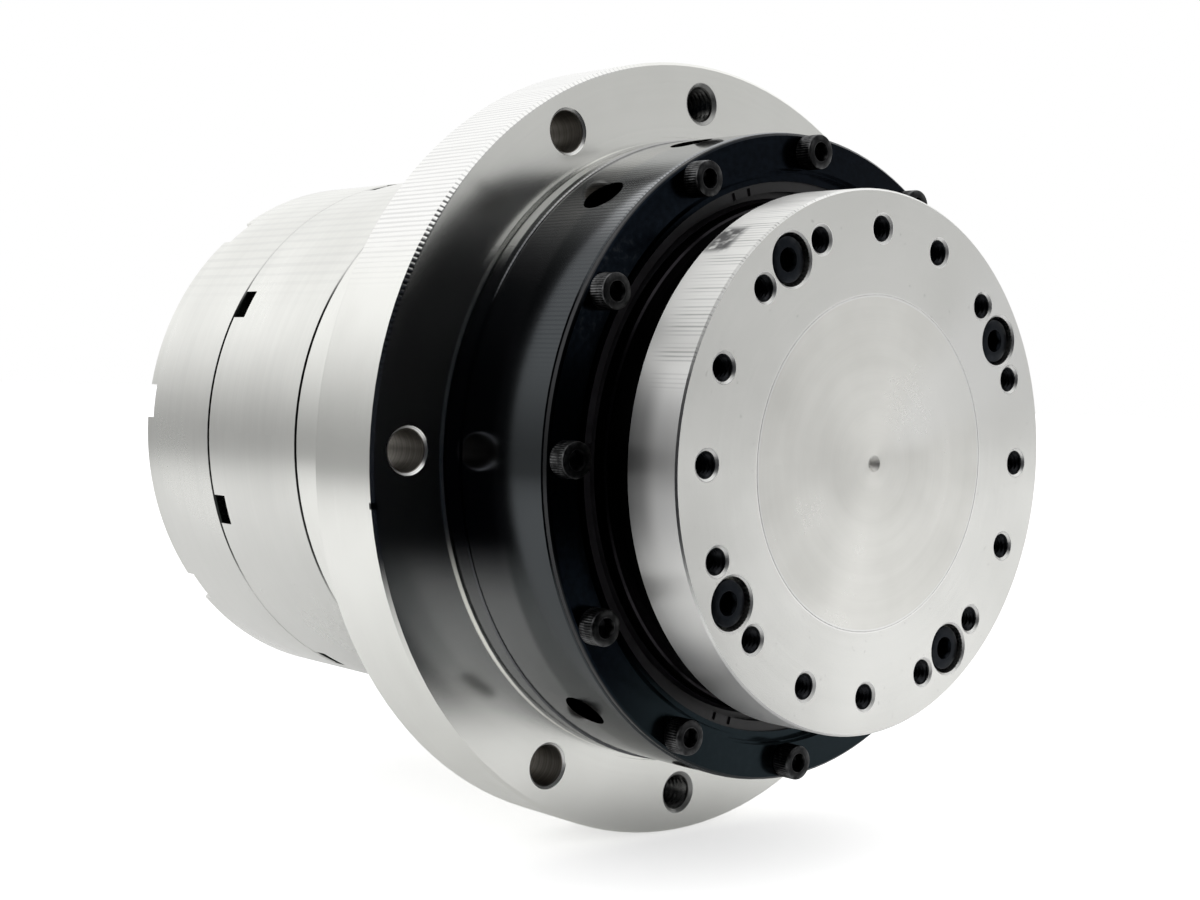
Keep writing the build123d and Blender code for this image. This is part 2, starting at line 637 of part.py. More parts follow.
def output_seal():
    """Seal ring with a notched front rim and a lip that runs on the bearing's inner ring."""
    face = clamp_top - 1.0 - SEAL_FACE_DROP
    base = bearing_top + 0.2
    outside = clamp_lip_bore - SEAT_GAP
    lip = inner_ring_radius + RUN_GAP
    ring = turned(
        (lip + 0.6, base),
        (outside, base),
        (outside, face),
        (clamp_lip_bore - 1.6, face),
        (clamp_lip_bore - 1.6, base + 0.9),
        (lip + 0.9, base + 0.9),
        (lip + 0.4, face - 0.8),
        (lip, base + 1.2),
        (lip + 0.4, base + 0.8),
    )
    cuts = []
    for shift in (-2.3, 2.3):
        slot = Pos(clamp_lip_bore - 1.0, 0, face) * Box(1.2, 0.7, 0.8)
        cuts += around(SEAL_NOTCH_COUNT, slot, SEAL_NOTCH_ANGLE + shift)
    return ring - cuts


# Output side

def output_flange():
    """Output flange with tapped holes, counterbored screws, a cap seat and a rear spigot."""
    recess = CAP_RADIUS - CAP_SEAT_WIDTH
    body = turned(
        (0, web_bottom),
        (INNER_RING_BORE - SEAT_GAP, web_bottom),
        (INNER_RING_BORE - SEAT_GAP, neck_bottom),
        (output_neck_radius, neck_bottom),
        (output_neck_radius, rim_bottom),
        (OUTPUT_RADIUS - 0.3, rim_bottom),
        (OUTPUT_RADIUS, rim_bottom + 0.3),
        (OUTPUT_RADIUS, output_face - 0.3),
        (OUTPUT_RADIUS - 0.3, output_face),
        (CAP_RADIUS + 0.12, output_face),
        (CAP_RADIUS + 0.12, output_face - CAP_THICKNESS),
        (recess, output_face - CAP_THICKNESS),
        (recess, web_top),
        (0, web_top),
    )
    seat = output_face - COUNTERBORE_DEPTH
    tap = pin(output_circle_radius, M4_RADIUS, output_face - M4_TAP_DEPTH, output_face)
    tap_mouth = mouth(output_circle_radius, M4_RADIUS, output_face, 0.35)
    bore = pin(output_circle_radius, COUNTERBORE_RADIUS, seat, output_face)
    bore_mouth = mouth(output_circle_radius, COUNTERBORE_RADIUS, output_face, 0.3)
    through = pin(output_circle_radius, M4_RADIUS + HOLE_GAP, neck_bottom, seat)
    flex_tap = pin(FLEX_SCREW_CIRCLE, M4_RADIUS + SEAT_GAP, web_bottom, web_top)
    cuts = []
    for cut in (tap, tap_mouth):
        cuts += around(OUTPUT_TAP_COUNT, cut)
    for cut in (bore, bore_mouth, through):
        cuts += around(OUTPUT_SCREW_COUNT, cut, OUTPUT_SCREW_ANGLE)
    cuts += around(FLEX_SCREW_COUNT, flex_tap)
    return body - cuts


def output_screws():
    seat = output_face - COUNTERBORE_DEPTH
    screw = socket_screw(M4_RADIUS, M4_HEAD_RADIUS, M4_HEAD_HEIGHT, M4_SOCKET, OUTPUT_SCREW_LENGTH)
    return group(around(OUTPUT_SCREW_COUNT, Pos(output_circle_radius, 0, seat) * screw, OUTPUT_SCREW_ANGLE))


def centre_cap():
    """Flush cap over the output flange's recess, with a centre-drilled mark."""
    cap = disc(CAP_RADIUS, output_face - CAP_THICKNESS, output_face)
    drill = Pos(0, 0, output_face - 0.5) * Cone(0.3, 1.3, 1.0)
    return cap - drill


# Strain wave gear

def flex_tooth_outline():
    """Toothed outline of the flexspline, bent to the oval without stretching.

    A point at angle t moves out by WAVE cos 2t and back along the rim by WAVE / 2 sin 2t, and each tooth
    stands square on the bent rim.
    """
    corners = ((-FLEX_TOOTH_ROOT, 0), (-FLEX_TOOTH_TIP, FLEX_TOOTH_HEIGHT))
    corners += ((FLEX_TOOTH_TIP, FLEX_TOOTH_HEIGHT), (FLEX_TOOTH_ROOT, 0))
    points = []
    for k in range(FLEX_TEETH):
        t = 2 * pi * k / FLEX_TEETH
        out = FLEX_ROOT_RADIUS + WAVE * cos(2 * t)
        along = -WAVE / 2 * sin(2 * t)
        x = out * cos(t) - along * sin(t)
        y = out * sin(t) + along * cos(t)
        slope_out = -2 * WAVE * sin(2 * t) - along
        slope_along = out - WAVE * cos(2 * t)
        length = hypot(slope_out, slope_along)
        tx = (slope_out * cos(t) - slope_along * sin(t)) / length
        ty = (slope_out * sin(t) + slope_along * cos(t)) / length
        for side, height in corners:
            points.append((x + side * tx + height * ty, y + side * ty - height * tx))
    return points


def flexspline():
    """Thin cup with a toothed open end, drawn oval by the wave generator, and a thick round boss."""
    teeth = make_face(Polyline(*flex_tooth_outline(), close=True)) - oval(flex_bore)
    tooth_ring = Pos(0, 0, flex_open_end) * extrude(teeth, amount=FLEX_FACE_WIDTH)
    round_end = web_bottom - FLEX_RELIEF - FLEX_CORNER
    low = Pos(0, 0, flex_tooth_top)
    high = Pos(0, 0, round_end)
    outer = loft([low * oval(flex_bore + FLEX_WALL), high * Circle(flex_wall_radius)])
    inner = loft([low * oval(flex_bore), high * Circle(flex_wall_radius - FLEX_WALL)])
    top = web_bottom - FLEX_RELIEF
    corner_in = FLEX_CORNER - FLEX_WALL
    path = Polyline(
        (flex_wall_radius - FLEX_CORNER, top),
        (FLEX_BOSS_RADIUS, top),
        (FLEX_BOSS_RADIUS, web_bottom),
        (FLEX_BOSS_BORE, web_bottom),
        (FLEX_BOSS_BORE, boss_bottom),
        (FLEX_BOSS_RADIUS, boss_bottom),
        (FLEX_BOSS_RADIUS, top - FLEX_WALL),
        (flex_wall_radius - FLEX_CORNER, top - FLEX_WALL),
    )
    inside = CenterArc((flex_wall_radius - FLEX_CORNER, round_end), corner_in, 90, -90)
    outside = CenterArc((flex_wall_radius - FLEX_CORNER, round_end), FLEX_CORNER, 0, 90)
    end = Line((flex_wall_radius - FLEX_WALL, round_end), (flex_wall_radius, round_end))
    section = Plane.XZ * make_face([*path.edges(), inside, end, outside])
    crown = revolve(section, axis=Axis.Z)
    cup = tooth_ring + (outer - inner) + crown
    bolt = pin(FLEX_SCREW_CIRCLE, M4_RADIUS + HOLE_GAP, boss_bottom, web_bottom)
    return cup - around(FLEX_SCREW_COUNT, bolt)


def flexspline_clamp_plate():
    plate = tube(FLEX_BOSS_BORE, FLEX_BOSS_RADIUS - 0.5, boss_bottom - CLAMP_PLATE_THICKNESS, boss_bottom)
    bolt = pin(FLEX_SCREW_CIRCLE, M4_RADIUS + HOLE_GAP, boss_bottom - CLAMP_PLATE_THICKNESS, boss_bottom)
    return plate - around(FLEX_SCREW_COUNT, bolt)


def flexspline_screws():
    seat = boss_bottom - CLAMP_PLATE_THICKNESS
    screw = socket_screw(M4_RADIUS, M4_HEAD_RADIUS, M4_HEAD_HEIGHT, M4_SOCKET, web_top - seat - 0.5)
    return group(around(FLEX_SCREW_COUNT, Pos(FLEX_SCREW_CIRCLE, 0, seat) * (Rot(180, 0, 0) * screw)))


def circular_spline():
    """Rigid ring gear with two more teeth than the flexspline."""
    half_angles = (-RING_SPACE_TIP / ring_tip_radius, -RING_SPACE_ROOT / ring_root_radius)
    half_angles += (RING_SPACE_ROOT / ring_root_radius, RING_SPACE_TIP / ring_tip_radius)
    radii = (ring_tip_radius, ring_root_radius, ring_root_radius, ring_tip_radius)
    points = []
    for k in range(RING_TEETH):
        for radius, half in zip(radii, half_angles):
            t = 2 * pi * k / RING_TEETH + half
            points.append((radius * cos(t), radius * sin(t)))
    face = Circle(ring_gear_radius) - make_face(Polyline(*points, close=True))
    ring = Pos(0, 0, ring_gear_bottom) * extrude(face, amount=RING_GEAR_WIDTH)
    bolt = pin(ring_screw_circle, M3_RADIUS + HOLE_GAP, ring_gear_bottom, RING_GEAR_HEIGHT)
    return ring - around(RING_SCREW_COUNT, bolt)


def circular_spline_screws():
    reach = RING_GEAR_WIDTH + RING_SCREW_REACH
    screw = socket_screw(M3_RADIUS, M3_HEAD_RADIUS, M3_HEAD_HEIGHT, M3_SOCKET, reach)
    screw = Pos(ring_screw_circle, 0, ring_gear_bottom) * (Rot(180, 0, 0) * screw)
    return group(around(RING_SCREW_COUNT, screw))


# Wave generator

def wave_plug():
    """Oval plug with a hub, a shaft bore and lightening holes."""
    rim = Pos(0, 0, wave_bottom) * extrude(oval(plug_radius), amount=WAVE_BEARING_WIDTH)
    hub = disc(PLUG_HUB_RADIUS, hub_bottom, hub_top)
    bore = disc(NOSE_RADIUS + SEAT_GAP, hub_bottom, hub_top)
    window = pin(PLUG_WINDOW_CIRCLE, PLUG_WINDOW_RADIUS, wave_bottom, wave_top)
    return rim + hub - ([bore] + around(PLUG_WINDOW_COUNT, window, PLUG_WINDOW_ANGLE))


def oval_places(count):
    """Locations on the balls' oval path, at equal angles."""
    places = []
    for k in range(count):
        t = 2 * pi * k / count
        long, short = ball_pitch_radius + WAVE, ball_pitch_radius - WAVE
        radius = long * short / hypot(short * cos(t), long * sin(t))
        places.append(Location((radius * cos(t), radius * sin(t), wave_middle), (0, 0, degrees(t))))
    return places


def wave_balls():
    return group([place * Sphere(WAVE_BALL_RADIUS) for place in oval_places(WAVE_BALL_COUNT)])


def wave_cage():
    """Comb cage: an oval ring beside the balls with a prong between each pair."""
    bottom = wave_middle + WAVE_BALL_RADIUS + 0.15
    ring = oval_tube(ball_pitch_radius - 0.9, ball_pitch_radius + 0.9, bottom, wave_top - 0.2)
    prong = Pos(0, 0, 0.75) * Box(1.4, 2.6, 2 * WAVE_BALL_RADIUS)
    places = oval_places(2 * WAVE_BALL_COUNT)[1::2]
    return ring + [place * prong for place in places]


def wave_race(bore, radius):
    """Thin race, bent to the oval."""
    return oval_tube(bore, radius, wave_bottom, wave_top)


def wave_washer():
    return tube(M5_RADIUS + HOLE_GAP, WASHER_RADIUS, hub_top, hub_top + WASHER_THICKNESS)


def wave_bolt():
    """Bolt that draws the wave generator onto the motor shaft's nose."""
    seat = hub_top + WASHER_THICKNESS
    screw = socket_screw(M5_RADIUS, M5_HEAD_RADIUS, M5_HEAD_HEIGHT, M5_SOCKET, M5_REACH)
    return Pos(0, 0, seat) * screw


# Motor

def motor_shaft():
    nose_top = hub_top - 0.3
    shaft = turned(
        (0, nose_top),
        (NOSE_RADIUS - 0.4, nose_top),
        (NOSE_RADIUS, nose_top - 0.4),
        (NOSE_RADIUS, hub_bottom),
        (SHAFT_RADIUS, hub_bottom),
        (SHAFT_RADIUS, front_bearing_bottom),
        (SHAFT_SHOULDER_RADIUS, front_bearing_bottom),
        (SHAFT_SHOULDER_RADIUS, rear_bearing_top),
        (SHAFT_RADIUS, rear_bearing_top),
        (SHAFT_RADIUS, magnet_body_top),
        (TAIL_RADIUS, magnet_body_top),
        (TAIL_RADIUS, disc_bottom),
        (0, disc_bottom),
    )
    tap_end = hub_top + WASHER_THICKNESS - M5_REACH - 1
    return shaft - disc(M5_RADIUS + SEAT_GAP, tap_end, nose_top)


def front_plate():
    """Bearing plate in front of the motor, clamped between the two front housings."""
    hub_top_height = shaft_seal_bottom + SHAFT_SEAL_WIDTH
    seat = SHAFT_BEARING_RADIUS + SEAT_GAP
    return turned(
        (seat, front_plate_bottom),
        (plate_radius, front_plate_bottom),
        (plate_radius, front_plate_top),
        (PLATE_HUB_RADIUS, front_plate_top),
        (PLATE_HUB_RADIUS, hub_top_height),
        (seat, hub_top_height),
        (seat, shaft_seal_bottom),
        (seat - 1.5, shaft_seal_bottom),
        (seat - 1.5, front_bearing_top),
        (seat, front_bearing_top),
    )


def shaft_seal():
    """Lip seal that keeps the gear's grease out of the motor."""
    top = shaft_seal_bottom + SHAFT_SEAL_WIDTH
    lip = SHAFT_RADIUS + RUN_GAP
    return turned(
        (lip + 1.0, shaft_seal_bottom),
        (SHAFT_BEARING_RADIUS, shaft_seal_bottom),
        (SHAFT_BEARING_RADIUS, top),
        (lip + 3.4, top),
        (lip + 3.4, shaft_seal_bottom + 0.8),
        (lip + 1.2, shaft_seal_bottom + 0.8),
        (lip + 0.5, top - 0.3),
        (lip, top - 0.7),
    )


def rear_plate():
    """Bearing plate behind the motor; its rear face is the brake's counter face."""
    seat = SHAFT_BEARING_RADIUS + SEAT_GAP
    hub_end = rear_bearing_top + 0.4
    plate = turned(
        (seat - 1.5, rear_plate_bottom),
        (plate_radius, rear_plate_bottom),
        (plate_radius, rear_plate_top),
        (PLATE_HUB_RADIUS, rear_plate_top),
        (PLATE_HUB_RADIUS, hub_end),
        (seat, hub_end),
        (seat, rear_shoulder),
        (seat - 1.5, rear_shoulder),
    )
    tap = pin(brake_screw_circle, M3_RADIUS + SEAT_GAP, rear_plate_bottom, rear_plate_top)
    return plate - around(BRAKE_SCREW_COUNT, tap, BRAKE_SCREW_ANGLE)


def bearing_rings(bottom):
    """Inner ring, outer ring and cage of a shaft bearing, with shallow grooves for its balls."""
    top = bottom + SHAFT_BEARING_WIDTH
    middle = (bottom + top) / 2
    pitch = (SHAFT_RADIUS + SHAFT_BEARING_RADIUS) / 2
    inner = tube(SHAFT_RADIUS + SEAT_GAP, SHAFT_RADIUS + SHAFT_RACE, bottom, top)
    outer = tube(SHAFT_BEARING_RADIUS - SHAFT_RACE, SHAFT_BEARING_RADIUS, bottom, top)
    track = Pos(pitch, 0, middle) * (Rot(90, 0, 0) * Circle(SHAFT_BEARING_BALL + SEAT_GAP))
    track = revolve(track, axis=Axis.Z)
    cage = tube(pitch - 0.5, pitch + 0.5, bottom + 0.3, middle - SHAFT_BEARING_BALL - 0.1)
    return inner - track, outer - track, cage


def bearing_balls(bottom):
    middle = bottom + SHAFT_BEARING_WIDTH / 2
    pitch = (SHAFT_RADIUS + SHAFT_BEARING_RADIUS) / 2
    return around(SHAFT_BEARING_BALLS, Pos(pitch, 0, middle) * Sphere(SHAFT_BEARING_BALL))


def preload_spring():
    """Wave spring behind the rear bearing's outer ring, flattened to its working height."""
    return tube(SHAFT_BEARING_RADIUS - 1.4, SHAFT_BEARING_RADIUS - 0.1, rear_shoulder, rear_bearing_bottom)


def stator_core():
    """Laminated stack with twelve teeth that end in pole shoes."""
    length = stator_radius - STATOR_BORE
    tooth = Pos(STATOR_BORE + length / 2, 0) * Rectangle(length, STATOR_TOOTH_WIDTH)
    shoe = Pos(STATOR_BORE + STATOR_SHOE_DEPTH / 2, 0) * Rectangle(STATOR_SHOE_DEPTH + 1.4, STATOR_SHOE_WIDTH)
    spokes = around(STATOR_SLOTS, tooth) + around(STATOR_SLOTS, shoe)
    ring = Circle(stator_radius) - Circle(stator_yoke)
    face = (ring + spokes) & (Circle(stator_radius) - Circle(STATOR_BORE))
    return Pos(0, 0, stator_bottom) * extrude(face, amount=STATOR_LENGTH)


def stator_coils():
    """One wound coil on each stator tooth."""
    inner_radius = STATOR_BORE + STATOR_SHOE_DEPTH + 1.2
    middle = (inner_radius + coil_outer_radius) / 2
    width = STATOR_TOOTH_WIDTH + 0.4
    height = STATOR_LENGTH + 0.4
    depth = coil_outer_radius - inner_radius
    coil = Box(depth, width + 2 * COIL_BUILD, height + 2 * (COIL_OVERHANG - 0.4))
    coil = fillet(coil.edges().filter_by(Axis.X), 1.8) - Box(depth, width, height)
    coil = Pos(middle, 0, (stator_top + stator_bottom) / 2) * coil
    return group(around(STATOR_SLOTS, coil))


def rotor_core():
    """Rotor wheel: hub on the shaft, web and rim that carries the magnets."""
    middle = (stator_top + stator_bottom) / 2
    half = ROTOR_WEB / 2
    bore = SHAFT_SHOULDER_RADIUS + SEAT_GAP
    inside = ROTOR_RADIUS - ROTOR_RIM
    return turned(
        (bore, stator_bottom),
        (ROTOR_HUB_RADIUS, stator_bottom),
        (ROTOR_HUB_RADIUS, middle - half),
        (inside, middle - half),
        (inside, stator_bottom),
        (ROTOR_RADIUS, stator_bottom),
        (ROTOR_RADIUS, stator_top),
        (inside, stator_top),
        (inside, middle + half),
        (ROTOR_HUB_RADIUS, middle + half),
        (ROTOR_HUB_RADIUS, stator_top),
        (bore, stator_top),
    )


def rotor_magnets():
    inside = ROTOR_RADIUS + SEAT_GAP
    magnet = turned(
        (inside, stator_bottom),
        (inside + MAGNET_THICKNESS, stator_bottom),
        (inside + MAGNET_THICKNESS, stator_top),
        (inside, stator_top),
        arc=MAGNET_ANGLE,
    )
    return group(around(MAGNET_COUNT, magnet))


# Brake

def brake_hub():
    """Square hub that carries the friction disc and lets it slide, with a collar against the bearing."""
    square = extrude(Rectangle(HUB_SQUARE, HUB_SQUARE), amount=friction_top - armature_bottom)
    hub = Pos(0, 0, armature_bottom) * square & disc(BRAKE_HUB_RADIUS, armature_bottom, friction_top)
    collar = disc(SHAFT_RADIUS + SHAFT_RACE, friction_top, rear_bearing_bottom)
    return hub + collar - disc(SHAFT_RADIUS + SEAT_GAP, armature_bottom, rear_bearing_bottom)


def friction_disc():
    plate = disc(FRICTION_RADIUS, friction_bottom, friction_top)
    side = HUB_SQUARE + 2 * RUN_GAP
    square = Pos(0, 0, friction_bottom) * extrude(Rectangle(side, side), amount=FRICTION_THICKNESS)
    opening = square & disc(BRAKE_HUB_RADIUS + RUN_GAP, friction_bottom, friction_top)
    return plate - opening


def brake_armature():
    """Steel plate that the springs press on the friction disc and the magnet pulls back."""
    return tube(ARMATURE_BORE, armature_radius, armature_bottom, armature_top)


def brake_magnet_body():
    """Pot magnet with a coil groove, spring pockets and a mounting flange."""
    body = turned(
        (MAGNET_BODY_BORE, magnet_body_bottom),
        (magnet_flange_radius, magnet_body_bottom),
        (magnet_flange_radius, magnet_body_bottom + MAGNET_FLANGE),
        (magnet_body_radius, magnet_body_bottom + MAGNET_FLANGE),
        (magnet_body_radius, magnet_body_top),
        (BRAKE_COIL_OUTER, magnet_body_top),
        (BRAKE_COIL_OUTER, magnet_body_top - BRAKE_COIL_DEPTH),
        (BRAKE_COIL_INNER, magnet_body_top - BRAKE_COIL_DEPTH),
        (BRAKE_COIL_INNER, magnet_body_top),
        (MAGNET_BODY_BORE, magnet_body_top),
    )
    pocket_floor = magnet_body_top - BRAKE_SPRING_DEPTH
    pocket = pin(brake_spring_circle, BRAKE_SPRING_RADIUS + HOLE_GAP, pocket_floor, magnet_body_top)
    flange_top = magnet_body_bottom + MAGNET_FLANGE
    bolt = pin(brake_screw_circle, M3_RADIUS + HOLE_GAP, magnet_body_bottom, flange_top)
    pockets = around(BRAKE_SPRING_COUNT, pocket, BRAKE_SPRING_ANGLE)
    return body - (pockets + around(BRAKE_SCREW_COUNT, bolt, BRAKE_SCREW_ANGLE))


def brake_coil():
    bottom = magnet_body_top - BRAKE_COIL_DEPTH
    return tube(BRAKE_COIL_INNER + RUN_GAP, BRAKE_COIL_OUTER - RUN_GAP, bottom, magnet_body_top - 0.3)


def brake_springs():
    bottom = magnet_body_top - BRAKE_SPRING_DEPTH
    top = magnet_body_top - RUN_GAP
    spring = tube(BRAKE_SPRING_RADIUS - BRAKE_SPRING_WIRE, BRAKE_SPRING_RADIUS, bottom, top)
    return group(around(BRAKE_SPRING_COUNT, Pos(brake_spring_circle, 0, 0) * spring, BRAKE_SPRING_ANGLE))


def brake_spacers():
    bottom = magnet_body_bottom + MAGNET_FLANGE
    sleeve = tube(M3_RADIUS + HOLE_GAP, SPACER_RADIUS, bottom, rear_plate_bottom)
    return group(around(BRAKE_SCREW_COUNT, Pos(brake_screw_circle, 0, 0) * sleeve, BRAKE_SCREW_ANGLE))


def brake_screws():
    reach = rear_plate_top - 0.5 - magnet_body_bottom
    screw = socket_screw(M3_RADIUS, M3_HEAD_RADIUS, M3_HEAD_HEIGHT, M3_SOCKET, reach)
    screw = Pos(brake_screw_circle, 0, magnet_body_bottom) * (Rot(180, 0, 0) * screw)
    return group(around(BRAKE_SCREW_COUNT, screw, BRAKE_SCREW_ANGLE))


# Encoder

def encoder_disc():
    """Encoder disc pressed on the shaft's tail."""
    plate = tube(TAIL_RADIUS + SEAT_GAP, ENCODER_DISC_RADIUS, disc_bottom, disc_top)
    collar = tube(TAIL_RADIUS + SEAT_GAP, TAIL_RADIUS + 2.0, disc_top, disc_top + 1.2)
    return plate + collar


def encoder_board():
    board = tube(BOARD_BORE, BOARD_RADIUS, board_bottom, board_top)
    bolt = pin(BOARD_SCREW_CIRCLE, M2_RADIUS + HOLE_GAP, board_bottom, board_top)
    return board - around(BOARD_SCREW_COUNT, bolt, BOARD_SCREW_ANGLE)


def board_screws():
    reach = BOARD_THICKNESS + BOARD_BOSS + 1.0
    screw = socket_screw(M2_RADIUS, M2_HEAD_RADIUS, M2_HEAD_HEIGHT, M2_SOCKET, reach)
    return group(around(BOARD_SCREW_COUNT, Pos(BOARD_SCREW_CIRCLE, 0, board_top) * screw, BOARD_SCREW_ANGLE))


def read_head():
    length, width = HEAD_SIZE
    height = ENCODER_GAP - 0.3
    return Pos(ENCODER_DISC_RADIUS - width / 2, 0, board_top + height / 2) * Box(width, length, height)


def connector():
    """Socket that fills the opening in the end wall, open to the rear, with contacts on its long walls."""
    length, width = CONNECTOR_SIZE
    height = board_bottom - end_wall_outside
    contact_height = height - CONNECTOR_WALL
    wall = width - 2 * CONNECTOR_WALL
    shell = Box(width, length, height)
    cavity = Pos(0, 0, -CONNECTOR_WALL) * Box(wall, length - 2 * CONNECTOR_WALL, height)
    contact = Box(2 * CONTACT_THICKNESS, CONTACT_WIDTH, contact_height - 0.4)
    contacts = []
    for side in (-1, 1):
        for k in range(CONTACT_COUNT):
            along = CONTACT_PITCH * (k - (CONTACT_COUNT - 1) / 2)
            contacts.append(Pos(side * wall / 2, along, -0.3) * contact)
    shell = shell - cavity + contacts
    place = Pos(CONNECTOR_RADIUS, 0, end_wall_outside + height / 2)
    return Rot(0, 0, CONNECTOR_ANGLE) * place * shell


def build():
    front_inner, front_outer, front_cage = bearing_rings(front_bearing_bottom)
    rear_inner, rear_outer, rear_cage = bearing_rings(rear_bearing_bottom)
    keep("flange_housing", flange_housing())
    keep("middle_housing", middle_housing())
    keep("rear_cap", rear_cap())
    keep("housing_bolts", housing_bolts())
    keep("cross_bearing_outer_ring_front", outer_ring_half(True))
    keep("cross_bearing_outer_ring_rear", outer_ring_half(False))
    keep("cross_bearing_inner_ring", inner_ring())
    keep("crossed_rollers", crossed_rollers())
    keep("roller_spacers", roller_spacers())
    keep("bearing_clamp_ring", bearing_clamp_ring())
    keep("clamp_ring_screws", clamp_ring_screws())
    keep("output_seal", output_seal())
    keep("output_flange", output_flange())
    keep("output_screws", output_screws())
    keep("centre_cap", centre_cap())
    keep("flexspline", flexspline())
    keep("flexspline_clamp_plate", flexspline_clamp_plate())
    keep("flexspline_screws", flexspline_screws())
    keep("circular_spline", circular_spline())
    keep("circular_spline_screws", circular_spline_screws())
    keep("wave_generator_plug", wave_plug())
    keep("wave_bearing_inner_race", wave_race(plug_radius + SEAT_GAP, inner_race_radius))
    keep("wave_bearing_balls", wave_balls())
    keep("wave_bearing_cage", wave_cage())
    keep("wave_bearing_outer_race", wave_race(outer_race_radius - WAVE_OUTER_RACE, outer_race_radius))
    keep("wave_generator_washer", wave_washer())
    keep("wave_generator_bolt", wave_bolt())
    keep("motor_shaft", motor_shaft())
    keep("motor_front_plate", front_plate())
    keep("shaft_seal", shaft_seal())
    keep("motor_rear_plate", rear_plate())
    keep("front_bearing_inner_ring", front_inner)
    keep("front_bearing_outer_ring", front_outer)
    keep("rear_bearing_inner_ring", rear_inner)
    keep("rear_bearing_outer_ring", rear_outer)
    balls = bearing_balls(front_bearing_bottom) + bearing_balls(rear_bearing_bottom)
    keep("shaft_bearing_balls", group(balls))
    keep("shaft_bearing_cages", group([front_cage, rear_cage]))
    keep("preload_spring", preload_spring())
    keep("stator_core", stator_core())
    keep("stator_coils", stator_coils())
    keep("rotor_core", rotor_core())
    keep("rotor_magnets", rotor_magnets())
    keep("brake_hub", brake_hub())
    keep("brake_friction_disc", friction_disc())
    keep("brake_armature", brake_armature())
    keep("brake_magnet_body", brake_magnet_body())
    keep("brake_coil", brake_coil())
    keep("brake_springs", brake_springs())
    keep("brake_spacers", brake_spacers())
    keep("brake_screws", brake_screws())
    keep("encoder_disc", encoder_disc())
    keep("encoder_board", encoder_board())
    keep("encoder_read_head", read_head())
    keep("encoder_board_screws", board_screws())
    keep("rear_connector", connector())


build()
os.makedirs("parts", exist_ok=True)
lay_down = Rot(90, 0, 0)
for name, shape in nodes.items():
    export_step(lay_down * shape, f"parts/{name}.step")
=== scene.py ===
"""Strain wave rotary actuator: finishes, screws, threads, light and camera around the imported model.

Lengths are metres in the camera and the studio, and millimetres in the pieces and the finishes. A height is
measured from the mounting flange's front face towards the output, which is along -Y, and an angle runs about
the actuator's axis from +X towards +Z, in degrees.
"""

from math import pi, radians

import bpy
import numpy as np
from mathutils import Matrix, Vector


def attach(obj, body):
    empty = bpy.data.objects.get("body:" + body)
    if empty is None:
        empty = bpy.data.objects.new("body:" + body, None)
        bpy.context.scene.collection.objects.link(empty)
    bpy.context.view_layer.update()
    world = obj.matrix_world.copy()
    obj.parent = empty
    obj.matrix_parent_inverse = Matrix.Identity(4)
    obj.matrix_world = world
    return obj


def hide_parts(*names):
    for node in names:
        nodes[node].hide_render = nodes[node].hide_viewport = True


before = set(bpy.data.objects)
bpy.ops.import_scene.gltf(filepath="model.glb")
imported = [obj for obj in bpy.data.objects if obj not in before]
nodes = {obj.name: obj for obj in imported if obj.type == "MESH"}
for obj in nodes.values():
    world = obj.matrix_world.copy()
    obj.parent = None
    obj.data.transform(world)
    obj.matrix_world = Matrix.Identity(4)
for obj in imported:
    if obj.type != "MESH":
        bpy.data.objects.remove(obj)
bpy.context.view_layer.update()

MM = 0.001
TO_DEGREES = 180 / pi

# Camera, at the photograph's viewing angle
CAMERA_PLACE = (-0.21963819, -0.22632666, 0.01142048)
CAMERA_RIGHT = (0.75085563, -0.65964143, 0.03300023)
CAMERA_UP = (0.0, 0.04996504, 0.99875097)
CAMERA_LENS = 55.6523
CAMERA_NEAR = 0.01

# Studio. A bearing is in degrees from -Y towards +X, and a rise is in degrees above the horizon. Each part of
# the studio lies between two bearings. It is whole up to one rise, top, and gone from another, over. On the
# floor it begins at one distance, near, and is whole from another, far.
FLOOR_HEIGHT = -0.0656
FLOOR_HALF = 6.0
FLOOR_COLOUR = (0.92, 0.92, 0.92, 1.0)
FLOOR_GLOW = 0.6                 # the floor's own light as the camera sees it, so that it reads as white
FLOOR_SHINE = 0.08               # the same, as metal sees it
FLOOR_ROUGHNESS = 0.9
STUDIO_WHITE = (1.0, 1.0, 1.0, 1.0)
STUDIO_LEVEL = 0.92
ROOM_DARK = (0.0008, 0.002, 0.005, 1.0)
ROOM = dict(left=-80.0, right=24.0, edge=10.0, top=38.0, over=50.0, near=0.065, far=0.16)
GAP = dict(left=20.0, right=32.0, edge=4.0, top=2.0, over=8.0, near=0.22, far=0.45)
BAND_GREY = (0.36, 0.36, 0.36, 1.0)
BAND = dict(left=-168.0, right=-75.0, edge=12.0, top=-3.0, over=25.0, near=0.2, far=0.65)
SCREEN_GREY = (0.56, 0.56, 0.56, 1.0)
SCREEN = dict(left=30.0, right=95.0, edge=12.0, top=14.0, over=38.0, near=2.0, far=3.0)
STUDIO_PARTS = ((SCREEN_GREY, SCREEN), (BAND_GREY, BAND), (ROOM_DARK, GAP), (ROOM_DARK, ROOM))

